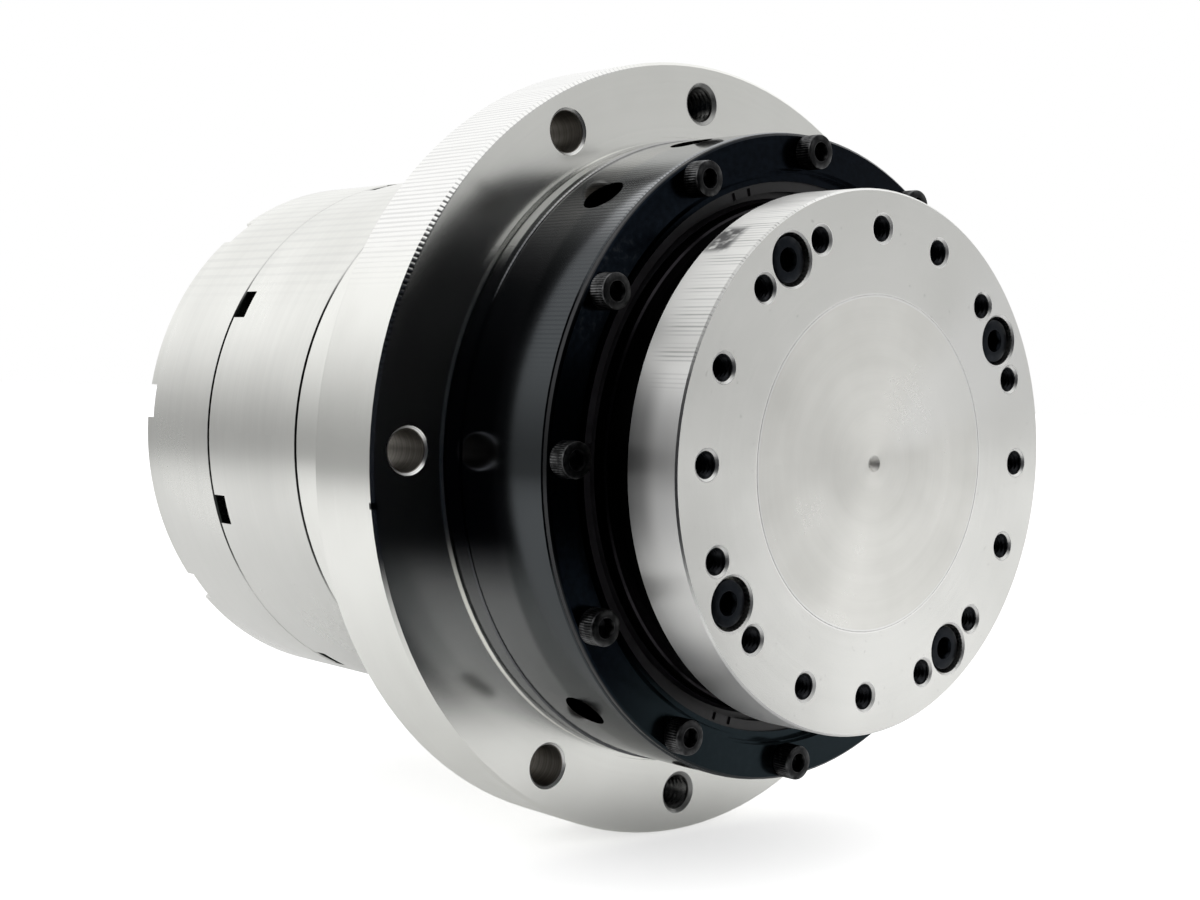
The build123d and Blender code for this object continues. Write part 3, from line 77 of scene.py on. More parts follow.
# Ring screws, output screws and housing bolts
CLAMP_SCREWS = dict(circle=48.6, count=12, start=30.0, seat=24.4, head=2.75, tall=3.0, socket=2.5, shank=1.5,
                    reach=10.0)
OUTPUT_SCREWS = dict(circle=36.0, count=4, start=33.75, seat=35.9, head=3.5, tall=4.0, socket=3.0, shank=2.0,
                     reach=14.0)
HOUSING_BOLTS = dict(circle=46.4, count=8, start=163.25, seat=-95.9, head=2.25, tall=2.5, socket=2.0,
                     shank=1.25, reach=6.0)
HEAD_COLUMNS = 168
HEAD_RIDGES = 42
RIDGE_DEPTH = 0.035              # share of the head's radius
RIM_ROUNDING = 0.09              # share of the head's radius
SOCKET_MOUTH = 1.22              # times half of the socket's width
SOCKET_FLOOR = 0.45              # share of the head's height
POLE_RADIUS = 0.001
EDGE_WEAR_AND_HIGHLIGHT = 0.6                  # share of the rounded edges that is bare from rubbing and painted as a highlight, where a knurl's crest has 1
SCREW_SHARP_ANGLE = 32

# Tapped holes
OUTPUT_TAPS = dict(circle=36.0, count=16, start=0.0, top=40.7, radius=2.0, pitch=0.7, deep=8.6, mouth=0.35)
FLANGE_TAPS = dict(circle=58.5, count=2, start=90.0, top=0.0, radius=3.0, pitch=1.0, deep=11.4, mouth=0.5)
THREAD_COLUMNS = 40
THREAD_ROWS_PER_PITCH = 4
THREAD_DEPTH = 0.54              # share of the pitch
THREAD_START = 0.5               # share of the pitch over which the thread grows from its mouth
THREAD_LEAST = 0.15              # share of its depth that it has at the mouth
THREAD_CLEARANCE = 0.015
THREAD_WALL = 0.01
THREAD_SHARP_ANGLE = 40

# Painted highlight round the cap: a thin light bead in its gap
CAP_BEAD = dict(circle=25.86, radius=0.05, top=40.68, columns=720, rows=8)
BEAD_SHARP_ANGLE = 180

# Places of the finishes' masks. Two values are a step, 0 at the first and 1 at the second. Three are a span,
# from the first to the second, with the third as the width of its soft edges. Off right is the angle without
# its sign, so that one span lies on both sides of the left.
LEFT_SECTOR = (158.0, 181.0, 16.0)
NICK_ANGLE = -172.7              # a small nick on the flange's front edge
NICK_HALF = 0.3
# Flange places: the rim carries a painted highlight, the top the barrel's painted light, and the seam and the
# ports painted shade
FLANGE = dict(
    rim=dict(radius=(64.2, 64.5), angle=(112.0, 146.0, 14.0)),
    ticks=dict(height=(-0.5, -0.02, 0.05), radius=(64.3, 64.4), angle=(146.0, 166.0, 8.0)),
    nick=dict(height=(-0.9, 0.1, 0.1), radius=(64.1, 64.2),
              angle=(NICK_ANGLE - NICK_HALF, NICK_ANGLE + NICK_HALF, NICK_HALF)),
    seam=dict(height=(-45.22, -45.3), off_right=LEFT_SECTOR),
    outside=dict(radius=(54.0, 54.5)),
    below_chamfer=dict(height=(-0.7, -0.6)),
    below_face=dict(height=(-0.4, -0.8)),
    above_foot=dict(height=(0.2, 0.5)),
    barrel=dict(height=(0.03, 0.25), radius=(50.8, 51.2)),
    ports=dict(radius=(51.55, 51.35), height=(9.8, 17.2, 0.1)),
    top=dict(angle=(92.0, 128.0, 16.0)),
)
# Barrel places: the band and the shade carry painted dark reflection, and the place at the upper left near
# the foot a painted highlight
BARREL = dict(
    band=dict(height=(12.0, 14.0)),
    lines=dict(angle=(120.0, 150.0, 12.0), height=(9.0, 4.0)),
    streaks=dict(angle=(124.0, 158.0, 12.0), height=(2.5, 3.5)),
    painted_gleam=dict(angle=(122.0, 140.0, 9.0), height=(0.8, 2.6, 0.5)),
    shade=dict(off_right=(168.0, 181.0, 14.0), height=(15.0, 11.0)),
)
# Body places: below, left and the seams' sides carry painted shade, and the seams and the windows painted
# shade and painted light
BODY = dict(
    left=dict(off_right=LEFT_SECTOR),
    below=dict(angle=(-150.0, -70.0, 30.0)),
    streaks=dict(angle=(100.0, 140.0, 15.0)),
    sunk=dict(radius=(49.49, 49.38)),
    front_seam=dict(height=(-45.98, -45.5, 0.02)),
    rear_seam=dict(height=(-75.66, -74.9, 0.02)),
    beside_front_seam=dict(height=(-45.98, -45.3, 0.05)),
    beside_rear_seam=dict(height=(-75.6, -74.95, 0.05)),
    windows=dict(radius=(49.42, 49.3), height=(-75.4, -71.5, 0.05)),
)
# Output places: the cap line carries a painted highlight, and the underside and the lower part painted shade
OUTPUT = dict(
    face=dict(height=(40.2, 40.3)),
    cap_line=dict(radius=(26.15, 26.05)),
    underside=dict(height=(30.2, 30.0)),
    lower=dict(height=(37.0, 33.0)),
    rim=dict(radius=(41.6, 41.8)),
)
# Rim places: the foot carries a painted highlight, and far left and low left painted shade
OUTPUT_RIM = dict(
    foot=dict(height=(30.2, 30.4)),
    marked=dict(angle=(112.0, 158.0, 12.0), height=(31.0, 36.5)),
    frosted=dict(angle=(120.0, 156.0, 8.0)),
    smear=dict(angle=(126.0, 131.5, 2.5), height=(31.5, 34.5, 1.8)),
    far_left=dict(off_right=(172.0, 181.0, 14.0)),
    low_left=dict(angle=(-135.0, -105.0, 12.0)),
)
# Sector of the painted highlight fan on the output's face and the cap
PAINTED_FAN = dict(angle=(28.0, 40.0, 22.0), radius=(2.0, 12.0))
# Cap places: the edge carries a painted highlight
CAP = dict(
    centre=dict(radius=(1.5, 1.2)),
    edge=dict(radius=(25.5, 25.6)),
)
# Ring places: the foot carries painted light
CLAMP_RING = dict(
    foot=dict(angle=(-125.0, -60.0, 20.0)),
    upper_scuff=dict(angle=(142.0, 156.0, 6.0)),
    lower_scuff=dict(angle=(-112.0, -98.0, 6.0)),
    edge=dict(radius=(51.3, 51.4)),
)

# Rings round holes, from an inner to an outer distance off each hole's axis
# The bolt holes' walls get drill marks painted dark as shade in the bores, and the bolt holes' and the
# output's lips get painted highlights
BOLT_HOLE_WALLS = dict(circle=58.5, pitch=60.0, start=0.0, inner=3.0, outer=3.38)
BOLT_HOLE_LIPS = dict(circle=58.5, pitch=60.0, start=0.0, inner=3.42, outer=3.7)
FLANGE_TAP_LIPS = dict(circle=58.5, pitch=180.0, start=90.0, inner=3.0, outer=3.6)
OUTPUT_TAP_LIPS = dict(circle=36.0, pitch=22.5, start=0.0, inner=2.02, outer=2.42)
OUTPUT_SCREW_LIPS = dict(circle=36.0, pitch=90.0, start=33.75, inner=4.02, outer=4.3)
HOLE_RING_EDGE = 0.04

# What the turned metals, the screws and the plain finishes each share. A relief is in millimetres.
TURNED_RELIEF = 0.03
TURNED_TONE_EDGES = (0.3, 0.7)
GRAIN_ROUGHNESS = 0.04
ACROSS_THE_GROOVES = 0.25        # of a turn, from the grooves' own direction
SCREW_RELIEF = 0.008
SCREW_RUB_AND_HIGHLIGHT_EDGES = (0.3, 0.75)
PLAIN_TONE_EDGES = (0.32, 0.68)

# Painted highlight tones of more than one finish
PAINTED_HIGHLIGHT = (0.97, 0.97, 0.95, 1)
BRIGHT_PAINTED_HIGHLIGHT = (0.99, 0.99, 0.97, 1)

# Plain finishes: light tone, dark tone, roughness, its spread, metallic, patch scale, grain scale, relief
PLAIN_FINISHES = {
    "bearing": ((0.62, 0.62, 0.63, 1), (0.5, 0.5, 0.51, 1), 0.18, 0.08, 1.0, 120.0, 3000.0, 0.002),
    "gear": ((0.5, 0.5, 0.5, 1), (0.4, 0.4, 0.4, 1), 0.3, 0.1, 1.0, 150.0, 3000.0, 0.004),
    "shaft": ((0.58, 0.58, 0.59, 1), (0.46, 0.46, 0.47, 1), 0.22, 0.1, 1.0, 150.0, 3000.0, 0.003),
    "seal": ((0.012, 0.011, 0.013, 1), (0.006, 0.0055, 0.0065, 1), 0.28, 0.15, 0.0, 300.0, 2500.0, 0.01),
    "lamination": ((0.36, 0.36, 0.37, 1), (0.26, 0.26, 0.27, 1), 0.4, 0.15, 1.0, 200.0, 3000.0, 0.01),
    "winding": ((0.72, 0.33, 0.17, 1), (0.5, 0.2, 0.1, 1), 0.32, 0.15, 1.0, 300.0, 2600.0, 0.03),
    "magnet": ((0.66, 0.64, 0.6, 1), (0.54, 0.52, 0.49, 1), 0.2, 0.1, 1.0, 200.0, 3000.0, 0.003),
    "brake": ((0.42, 0.42, 0.43, 1), (0.3, 0.3, 0.31, 1), 0.34, 0.12, 1.0, 150.0, 2800.0, 0.006),
    "lining": ((0.13, 0.1, 0.08, 1), (0.05, 0.045, 0.04, 1), 0.7, 0.2, 0.0, 700.0, 3000.0, 0.04),
    "board": ((0.03, 0.16, 0.07, 1), (0.02, 0.11, 0.05, 1), 0.35, 0.15, 0.0, 400.0, 3000.0, 0.005),
    "plastic": ((0.03, 0.03, 0.032, 1), (0.02, 0.02, 0.021, 1), 0.42, 0.12, 0.0, 300.0, 3600.0, 0.01),
    "dark_steel": ((0.028, 0.026, 0.029, 1), (0.012, 0.011, 0.013, 1), 0.25, 0.1, 1.0, 200.0, 3000.0, 0.003),
    # Thread tones painted dark as shade inside the tapped holes, darkest in the output's
    "thread_in_deep_shade": ((0.05, 0.052, 0.056, 1), (0.012, 0.013, 0.016, 1), 0.32, 0.2, 1.0, 900.0, 4000.0, 0.006),
    "thread_in_shade": ((0.24, 0.24, 0.23, 1), (0.09, 0.09, 0.088, 1), 0.28, 0.15, 1.0, 900.0, 4000.0, 0.006),
    # The bead's tones are a painted highlight
    "bead": (PAINTED_HIGHLIGHT, (0.9, 0.9, 0.88, 1), 0.3, 0.1, 1.0, 300.0, 3000.0, 0.001),
}

# Screw metals: oxide, lighter oxide, and the lighter metal of the crests and edges, partly bare from rubbing
# and partly a painted highlight
SCREW_METALS = {
    "screw": ((0.008, 0.0082, 0.009, 1), (0.024, 0.0243, 0.025, 1), (0.26, 0.262, 0.265, 1)),
    "black_screw": ((0.006, 0.008, 0.011, 1), (0.014, 0.017, 0.022, 1), (0.07, 0.072, 0.078, 1)),
}

# The finish of each material slot of the model, and of the nodes that have one of their own
SLOT_FINISHES = {
    "machined_aluminium": "flange", "satin_aluminium": "body", "output_aluminium": "output",
    "black_oxide_steel": "clamp_ring", "screw_steel": "screw", "bearing_steel": "bearing",
    "gear_steel": "gear", "shaft_steel": "shaft", "seal_rubber": "seal", "lamination_steel": "lamination",
    "winding_copper": "winding", "magnet_nickel": "magnet", "brake_steel": "brake",
    "friction_lining": "lining", "board_laminate": "board", "black_plastic": "plastic",
}
NODE_FINISHES = {
    "centre_cap": "cap",
    "cross_bearing_inner_ring": "dark_steel",
    "cross_bearing_outer_ring_front": "dark_steel",
}


# Surfaces


def laid_down(x, y, z):
    """Points built upright about Z, output at the top, turned so that the output faces -Y, in metres."""
    return np.stack((x, -z, y), axis=-1) * MM


def whole_turn(columns):
    """The angles of a grid's columns, evenly spaced round one turn, in radians."""
    return np.linspace(0, 2 * pi, columns, endpoint=False)[None, :]


def spread_round(spec):
    """The angles of a circle's holes or screws, in radians."""
    return radians(spec["start"]) + np.arange(spec["count"]) * 2 * pi / spec["count"]


def grid_faces(rows, columns, offset):
    """Quads of a grid that is closed round its columns, each row's last column joined to its first."""
    row = np.arange(rows - 1)[:, None]
    column = np.arange(columns)[None, :]
    after = (column + 1) % columns
    low = row * columns
    high = low + columns
    quads = np.stack((low + column, low + after, high + after, high + column), axis=-1)
    return quads.reshape(-1, 4) + offset


def mesh_piece(name, grids, closed, sharp_angle, worn_and_lit=None):
    """One object from grids of points (row, column, 3): each is closed round its columns, and either its
    first and last rows are poles of their own, or the last row joins the first, as on a ring. Where it is
    given, the last argument is each point's share of lighter edge, partly bare from rubbing and partly a
    painted highlight, kept as an attribute."""
    points = []
    faces = []
    offset = 0
    for grid in grids:
        rows, columns = grid.shape[:2]
        points.append(grid.reshape(-1, 3))
        faces.append(grid_faces(rows, columns, offset))
        if closed:
            column = np.arange(columns)
            after = (column + 1) % columns
            last = offset + (rows - 1) * columns
            faces.append(np.stack((last + column, last + after, offset + after, offset + column), axis=-1))
        offset += rows * columns
    points = np.concatenate(points)
    faces = np.concatenate(faces)
    mesh = bpy.data.meshes.new(name)
    mesh.from_pydata(points.tolist(), [], faces.tolist())
    mesh.validate()
    mesh.polygons.foreach_set("use_smooth", np.ones(len(mesh.polygons), dtype=bool))
    mesh.set_sharp_from_angle(angle=radians(sharp_angle))
    if worn_and_lit is not None:
        shares = mesh.attributes.new("worn_and_lit", "FLOAT", "POINT")
        shares.data.foreach_set("value", np.tile(worn_and_lit.ravel(), len(grids)).astype(np.float32))
    mesh.update()
    piece = bpy.data.objects.new(name, mesh)
    bpy.context.scene.collection.objects.link(piece)
    return piece


def screw_profile(spec):
    """The stations of a cap screw's profile: radius, height over the seat, share of the socket's hexagon,
    share of the knurl and share of the edge that is bare from rubbing and painted as a highlight. It runs
    from the shank's end up its side, out under the head, up the knurled side, over the rounded rim, in across
    the top to the socket's mouth, down the hexagon and in to the floor that the drill left."""
    head = spec["head"]
    tall = spec["tall"]
    flat = spec["socket"] / 2
    shank = spec["shank"]
    reach = spec["reach"]
    rim = RIM_ROUNDING * head
    mouth = flat * SOCKET_MOUTH
    floor = tall * SOCKET_FLOOR
    return np.array((
        (POLE_RADIUS, -reach, 0, 0, 0),
        (shank * 0.8, -reach, 0, 0, 0),
        (shank, 0.3 - reach, 0, 0, 0),
        (shank, 0.0, 0, 0, 0),
        (head * 0.97, 0.0, 0, 0, 0),
        (head, 0.12, 0, 0.2, 0),
        (head, 0.3, 0, 1, 0),
        (head, tall * 0.55, 0, 1, 0),
        (head, tall - rim * 1.9, 0, 1, 0),
        (head, tall - rim * 1.2, 0, 0.1, 1),
        (head - rim * 0.3, tall - rim * 0.3, 0, 0, 1),
        (head - rim, tall, 0, 0, 0.6),
        (mouth + 0.18, tall, 0, 0, 0),
        (mouth, tall, 0, 0, 0.6),
        (mouth * 0.97, tall - 0.16, 0.35, 0, 0.6),
        (flat * 1.02, tall - 0.42, 0.9, 0, 0),
        (flat, tall - 0.55, 1, 0, 0),
        (flat, floor, 1, 0, 0),
        (flat * 0.9, floor - 0.05, 0.5, 0, 0),
        (POLE_RADIUS, floor - 0.5, 0, 0, 0),
    ))


def socket_screw(spec, angle, direction):
    """One cap screw, as its profile carried round its own axis. Each station's radius is a circle blended
    towards a hexagon, times one less the ridge depth by half of one minus the cosine of the ridge count times
    the turn, where the side is knurled."""
    radius, height, hexagon, knurl, edge_wear_and_highlight = (column[:, None] for column in screw_profile(spec).T)
    turn = whole_turn(HEAD_COLUMNS)
    side = np.cos(pi / 6) / np.cos((turn + pi / 6) % (pi / 3) - pi / 6) / np.cos(pi / 6)
    hollow = 0.5 - 0.5 * np.cos(HEAD_RIDGES * turn)
    ridges = 1 - RIDGE_DEPTH * knurl * hollow
    across = radius * (1 - hexagon + hexagon * side) * ridges
    x = spec["circle"] * np.cos(angle) + across * np.cos(turn * direction + angle)
    y = spec["circle"] * np.sin(angle) + across * np.sin(turn * direction + angle)
    z = spec["seat"] + direction * height + 0 * turn
    crest = knurl * (1 - hollow) + (edge_wear_and_highlight + 0 * turn) * EDGE_WEAR_AND_HIGHLIGHT
    return laid_down(x, y, z), crest


def screw_set(name, spec, direction=1):
    """The screws of one circle, evenly spaced, as one object."""
    screws = [socket_screw(spec, angle, direction) for angle in spread_round(spec)]
    return mesh_piece(name, [points for points, crest in screws], False, SCREW_SHARP_ANGLE, screws[0][1])


def thread_sleeve(spec, angle):
    """One tapped hole's thread, as a closed ring of rows: down the bore, where the radius is the hole's less
    a triangle wave of height over pitch plus turn over a whole turn, then back up just inside the hole."""
    outer = spec["radius"] - THREAD_CLEARANCE
    top = spec["top"] - spec["mouth"]
    rows = int(spec["deep"] / spec["pitch"] * THREAD_ROWS_PER_PITCH)
    height = np.linspace(top, spec["top"] - spec["deep"], rows)[:, None]
    turn = whole_turn(THREAD_COLUMNS)
    phase = (height / spec["pitch"] + turn / (2 * pi)) % 1.0
    wave = 1 - np.abs(2 * phase - 1)
    grown = np.clip((top - height) / (THREAD_START * spec["pitch"]), THREAD_LEAST, 1)
    inner = outer - THREAD_DEPTH * spec["pitch"] * wave * grown - THREAD_WALL
    radius = np.concatenate((inner, np.full((2, THREAD_COLUMNS), outer)))
    height = np.concatenate((height + 0 * turn, np.full((1, THREAD_COLUMNS), height[-1, 0]),
                             np.full((1, THREAD_COLUMNS), top)))
    x = spec["circle"] * np.cos(angle) + radius * np.cos(turn)
    y = spec["circle"] * np.sin(angle) + radius * np.sin(turn)
    return laid_down(x, y, height)


def thread_set(name, spec):
    """The threads of one circle's tapped holes, as one object."""
    sleeves = [thread_sleeve(spec, angle) for angle in spread_round(spec)]
    return mesh_piece(name, sleeves, True, THREAD_SHARP_ANGLE)


def cap_bead(name):
    """A thin light bead in the cap's gap, just under the face, that stands as a painted highlight on the
    gap's edge: a circle of the bead's own radius carried round the cap."""
    turn = whole_turn(CAP_BEAD["columns"])
    round_bead = -whole_turn(CAP_BEAD["rows"]).T
    radius = CAP_BEAD["circle"] + CAP_BEAD["radius"] * np.cos(round_bead)
    height = CAP_BEAD["top"] - CAP_BEAD["radius"] * (1 - np.sin(round_bead)) + 0 * turn
    points = laid_down(radius * np.cos(turn), radius * np.sin(turn), height)
    return mesh_piece(name, [points], True, BEAD_SHARP_ANGLE)


# Shader nodes


def feed(tree, socket, value):
    """Links another node's output to a socket, or sets a plain value on it."""
    if isinstance(value, bpy.types.NodeSocket):
        tree.links.new(value, socket)
    else:
        socket.default_value = value


def put(tree, kind, links=None, **settings):
    """A new node with its settings, whose inputs take values or other nodes' outputs."""
    made = tree.nodes.new(kind)
    for name, value in settings.items():
        setattr(made, name, value)
    for name, value in (links or {}).items():
        feed(tree, made.inputs[name], value)
    return made


def sum_of(tree, operation, first, second=0.0, third=0.0):
    """Output of one Math node."""
    return put(tree, "ShaderNodeMath", {0: first, 1: second, 2: third}, operation=operation).outputs[0]


def times(tree, first, second):
    """Output of a product."""
    return sum_of(tree, "MULTIPLY", first, second)


def plus_times(tree, value, share, base):
    """Output of a value times a share, added to a base."""
    return sum_of(tree, "MULTIPLY_ADD", value, share, base)


def joined(tree, **parts):
    """Output of a vector made of the named parts, with 0 for the rest."""
    links = {axis.upper(): value for axis, value in parts.items()}
    return put(tree, "ShaderNodeCombineXYZ", links).outputs[0]


def step_between(tree, value, low, high):
    """Output of a smooth step that rises from 0 at low to 1 at high, or falls where low is above high."""
    links = {"Value": value, "From Min": low, "From Max": high}
    return put(tree, "ShaderNodeMapRange", links, interpolation_type="SMOOTHSTEP").outputs["Result"]


def both(tree, *masks):
    """Output of masks multiplied together, where a plain number is the share of them that is kept."""
    held = masks[0]
    for mask in masks[1:]:
        held = times(tree, held, mask)
    return held


def either(tree, *masks):
    """Output of the greatest of some masks."""
    held = masks[0]
    for mask in masks[1:]:
        held = sum_of(tree, "MAXIMUM", held, mask)
    return held


def between(tree, value, low, high, edge):
    """Output of a soft band: 1 where the value lies between two limits, 0 beyond their edges."""
    rising = step_between(tree, value, low - edge, low)
    return both(tree, rising, step_between(tree, value, high + edge, high))


def noise(tree, place, scale, detail=3.0, roughness=0.55):
    """Output of a noise with the given scale, from 0 to 1."""
    links = {"Vector": place, "Scale": scale, "Detail": detail, "Roughness": roughness}
    return put(tree, "ShaderNodeTexNoise", links).outputs[0]


def mixed(tree, factor, first, second):
    """Output of two colours mixed by a factor."""
    made = put(tree, "ShaderNodeMix", data_type="RGBA")
    for index, value in ((0, factor), (6, first), (7, second)):
        feed(tree, made.inputs[index], value)
    return made.outputs[2]


def new_group(name, vectors, values, outputs):
    """An empty node group with named vector and value inputs and value outputs, and its two end nodes."""
    tree = bpy.data.node_groups.new(name, "ShaderNodeTree")
    for socket in vectors:
        tree.interface.new_socket(name=socket, in_out="INPUT", socket_type="NodeSocketVector")
    for socket in values:
        tree.interface.new_socket(name=socket, in_out="INPUT", socket_type="NodeSocketFloat")
    for socket in outputs:
        tree.interface.new_socket(name=socket, in_out="OUTPUT", socket_type="NodeSocketFloat")
    return tree, tree.nodes.new("NodeGroupInput").outputs, tree.nodes.new("NodeGroupOutput").inputs


def use_group(tree, group, **inputs):
    """A node of the group, with its inputs set, as a dictionary of outputs."""
    made = put(tree, "ShaderNodeGroup", node_tree=group)
    for name, value in inputs.items():
        feed(tree, made.inputs[name.replace("_", " ").title()], value)
    return made.outputs


def make_round_place():
    """Group: radius and height in millimetres and angle in degrees of a point about the actuator's axis."""
    tree, given, out = new_group("round_place", ("Place",), (), ("Radius", "Height", "Angle"))
    parts = put(tree, "ShaderNodeSeparateXYZ", {0: given["Place"]}).outputs
    squared = sum_of(tree, "ADD", times(tree, parts[0], parts[0]), times(tree, parts[2], parts[2]))
    tree.links.new(times(tree, sum_of(tree, "SQRT", squared), 1 / MM), out["Radius"])
    tree.links.new(times(tree, parts[1], -1 / MM), out["Height"])
    tree.links.new(times(tree, sum_of(tree, "ARCTAN2", parts[2], parts[0]), TO_DEGREES), out["Angle"])
    return tree


def make_turning_marks():
    """Group: fine grooves that run round the axis. A noise reads radius and height finely and the angle
    coarsely, at two scales, so each groove goes nearly all the way round and fades here and there."""
    values = ("Radius", "Height", "Angle", "Lines Per Mm")
    tree, given, out = new_group("turning_marks", (), values, ("Depth", "Tone"))
    drift = times(tree, given["Angle"], 0.004)
    place = joined(tree, x=given["Radius"], y=given["Height"], z=drift)
    fine = noise(tree, place, given["Lines Per Mm"], detail=4.0, roughness=0.7)
    coarse = noise(tree, place, times(tree, given["Lines Per Mm"], 0.13), detail=3.0, roughness=0.6)
    tree.links.new(plus_times(tree, fine, 0.6, times(tree, coarse, 0.4)), out["Depth"])
    tree.links.new(plus_times(tree, coarse, 0.65, times(tree, fine, 0.35)), out["Tone"])
    return tree


def make_axial_marks():
    """Group: short grooves along the axis, as a chattering tool leaves. A noise reads the angle finely and
    the height coarsely, and is added to a regular wave of the angle."""
    tree, given, out = new_group("axial_marks", (), ("Angle", "Height", "Lines Per Degree"), ("Depth",))
    turn = times(tree, given["Angle"], given["Lines Per Degree"])
    place = joined(tree, x=turn, y=times(tree, given["Height"], 0.05))
    ragged = noise(tree, place, scale=1.0, detail=3.0, roughness=0.6)
    wave = plus_times(tree, sum_of(tree, "SINE", times(tree, turn, 2 * pi)), 0.5, 0.5)
    tree.links.new(plus_times(tree, wave, 0.45, times(tree, ragged, 0.55)), out["Depth"])
    return tree


def make_cloud():
    """Group: soft patches and fine grain, both from 0 to 1, from noises of the place."""
    tree, given, out = new_group("cloud", ("Place",), ("Patch Scale", "Grain Scale"), ("Patch", "Grain"))
    patch = noise(tree, given["Place"], given["Patch Scale"], detail=3.0, roughness=0.5)
    grain = noise(tree, given["Place"], given["Grain Scale"], detail=4.0, roughness=0.65)
    tree.links.new(patch, out["Patch"])
    tree.links.new(grain, out["Grain"])
    return tree


def make_hole_circle():
    """Group: distance in millimetres from the axis of the nearest hole of an evenly spaced circle. The angle
    is folded into one pitch, and the distance is that from the point on the circle at its middle."""
    tree, given, out = new_group("hole_circle", (), ("Radius", "Angle", "Circle", "Pitch"), ("Distance",))
    half = times(tree, given["Pitch"], 0.5)
    wrapped = sum_of(tree, "FLOORED_MODULO", sum_of(tree, "ADD", given["Angle"], half), given["Pitch"])
    turn = times(tree, sum_of(tree, "SUBTRACT", wrapped, half), 1 / TO_DEGREES)
    outward = times(tree, given["Radius"], sum_of(tree, "COSINE", turn))
    along = sum_of(tree, "SUBTRACT", outward, given["Circle"])
    across = times(tree, given["Radius"], sum_of(tree, "SINE", turn))
    squared = sum_of(tree, "ADD", times(tree, along, along), times(tree, across, across))
    tree.links.new(sum_of(tree, "SQRT", squared), out["Distance"])
    return tree


round_place = make_round_place()
hole_circle = make_hole_circle()
turning_marks = make_turning_marks()
axial_marks = make_axial_marks()
cloud = make_cloud()


# Finishes


def start_material(name):
    """A material with its shader, and the place that it reads."""
    material = bpy.data.materials.new(name)
    material.use_nodes = True
    tree = material.node_tree
    tree.nodes.clear()
    shader = put(tree, "ShaderNodeBsdfPrincipled")
    put(tree, "ShaderNodeOutputMaterial", {"Surface": shader.outputs[0]})
    return material, tree, shader, put(tree, "ShaderNodeTexCoord").outputs["Object"]


def lay_grain_round(tree, shader, place):
    """Turns the shader's stretched highlight along the direction round the axis."""
    axis = (0.0, 1.0, 0.0)
    across = put(tree, "ShaderNodeVectorMath", {0: place, 1: axis}, operation="CROSS_PRODUCT").outputs[0]
    unit = put(tree, "ShaderNodeVectorMath", {0: across}, operation="NORMALIZE").outputs[0]
    world = put(tree, "ShaderNodeVectorTransform", {0: unit}, vector_type="VECTOR",
                convert_from="OBJECT", convert_to="WORLD").outputs[0]
    tree.links.new(world, shader.inputs["Tangent"])


def bump(tree, shader, height, distance):
    """Feeds a height to the shader's normal through one Bump node, with its distance in millimetres."""
    made = put(tree, "ShaderNodeBump", {"Height": height, "Distance": distance * MM, "Strength": 1.0})
    tree.links.new(made.outputs[0], shader.inputs["Normal"])


def grained(name, light, dark, roughness, spread, metallic, patch, grain, relief):
    """A plain finish with soft patches and a fine grain in its tone, roughness and bump."""
    material, tree, shader, place = start_material(name)
    soft = use_group(tree, cloud, place=place, patch_scale=patch, grain_scale=grain)
    tone = plus_times(tree, soft["Patch"], 0.6, times(tree, soft["Grain"], 0.4))
    colour = mixed(tree, step_between(tree, tone, *PLAIN_TONE_EDGES), dark, light)
    tree.links.new(colour, shader.inputs["Base Color"])
    tree.links.new(plus_times(tree, soft["Grain"], spread, roughness), shader.inputs["Roughness"])
    shader.inputs["Metallic"].default_value = metallic
    bump(tree, shader, soft["Grain"], relief)
    return material


def screw_metal(name, oxide, lighter, bare_and_lit):
    """Dark oxide steel, lighter on the knurl's crests and the edges, partly bare from rubbing and partly a
    painted highlight, by the mesh's own attribute.
    """
    material, tree, shader, place = start_material(name)
    soft = use_group(tree, cloud, place=place, patch_scale=700.0, grain_scale=5200.0)
    worn_and_lit = put(tree, "ShaderNodeAttribute", attribute_name="worn_and_lit").outputs["Fac"]
    # Lighter metal on the crests and edges: partly bare from rubbing, partly a painted highlight
    rubbed_and_lit = times(tree, worn_and_lit, step_between(tree, soft["Patch"], *SCREW_RUB_AND_HIGHLIGHT_EDGES))
    bare = mixed(tree, soft["Grain"], oxide, lighter)
    tree.links.new(mixed(tree, rubbed_and_lit, bare, bare_and_lit), shader.inputs["Base Color"])
    tree.links.new(plus_times(tree, soft["Grain"], 0.16, 0.24), shader.inputs["Roughness"])
    shader.inputs["Metallic"].default_value = 1.0
    bump(tree, shader, soft["Grain"], SCREW_RELIEF)
    return material


def start_turned(name, lines_per_mm, patch_scale, grain_scale=2400.0):
    """A turned metal begun: its material, tree and shader, and the values that its masks read."""
    material, tree, shader, place = start_material(name)
    about = use_group(tree, round_place, place=place)
    marks = use_group(tree, turning_marks, radius=about["Radius"], height=about["Height"],
                      angle=about["Angle"], lines_per_mm=lines_per_mm)
    soft = use_group(tree, cloud, place=place, patch_scale=patch_scale, grain_scale=grain_scale)
    read = dict(place=place, radius=about["Radius"], height=about["Height"], angle=about["Angle"],
                groove=marks["Depth"], tone=marks["Tone"], patch=soft["Patch"], grain=soft["Grain"])
    return material, tree, shader, read


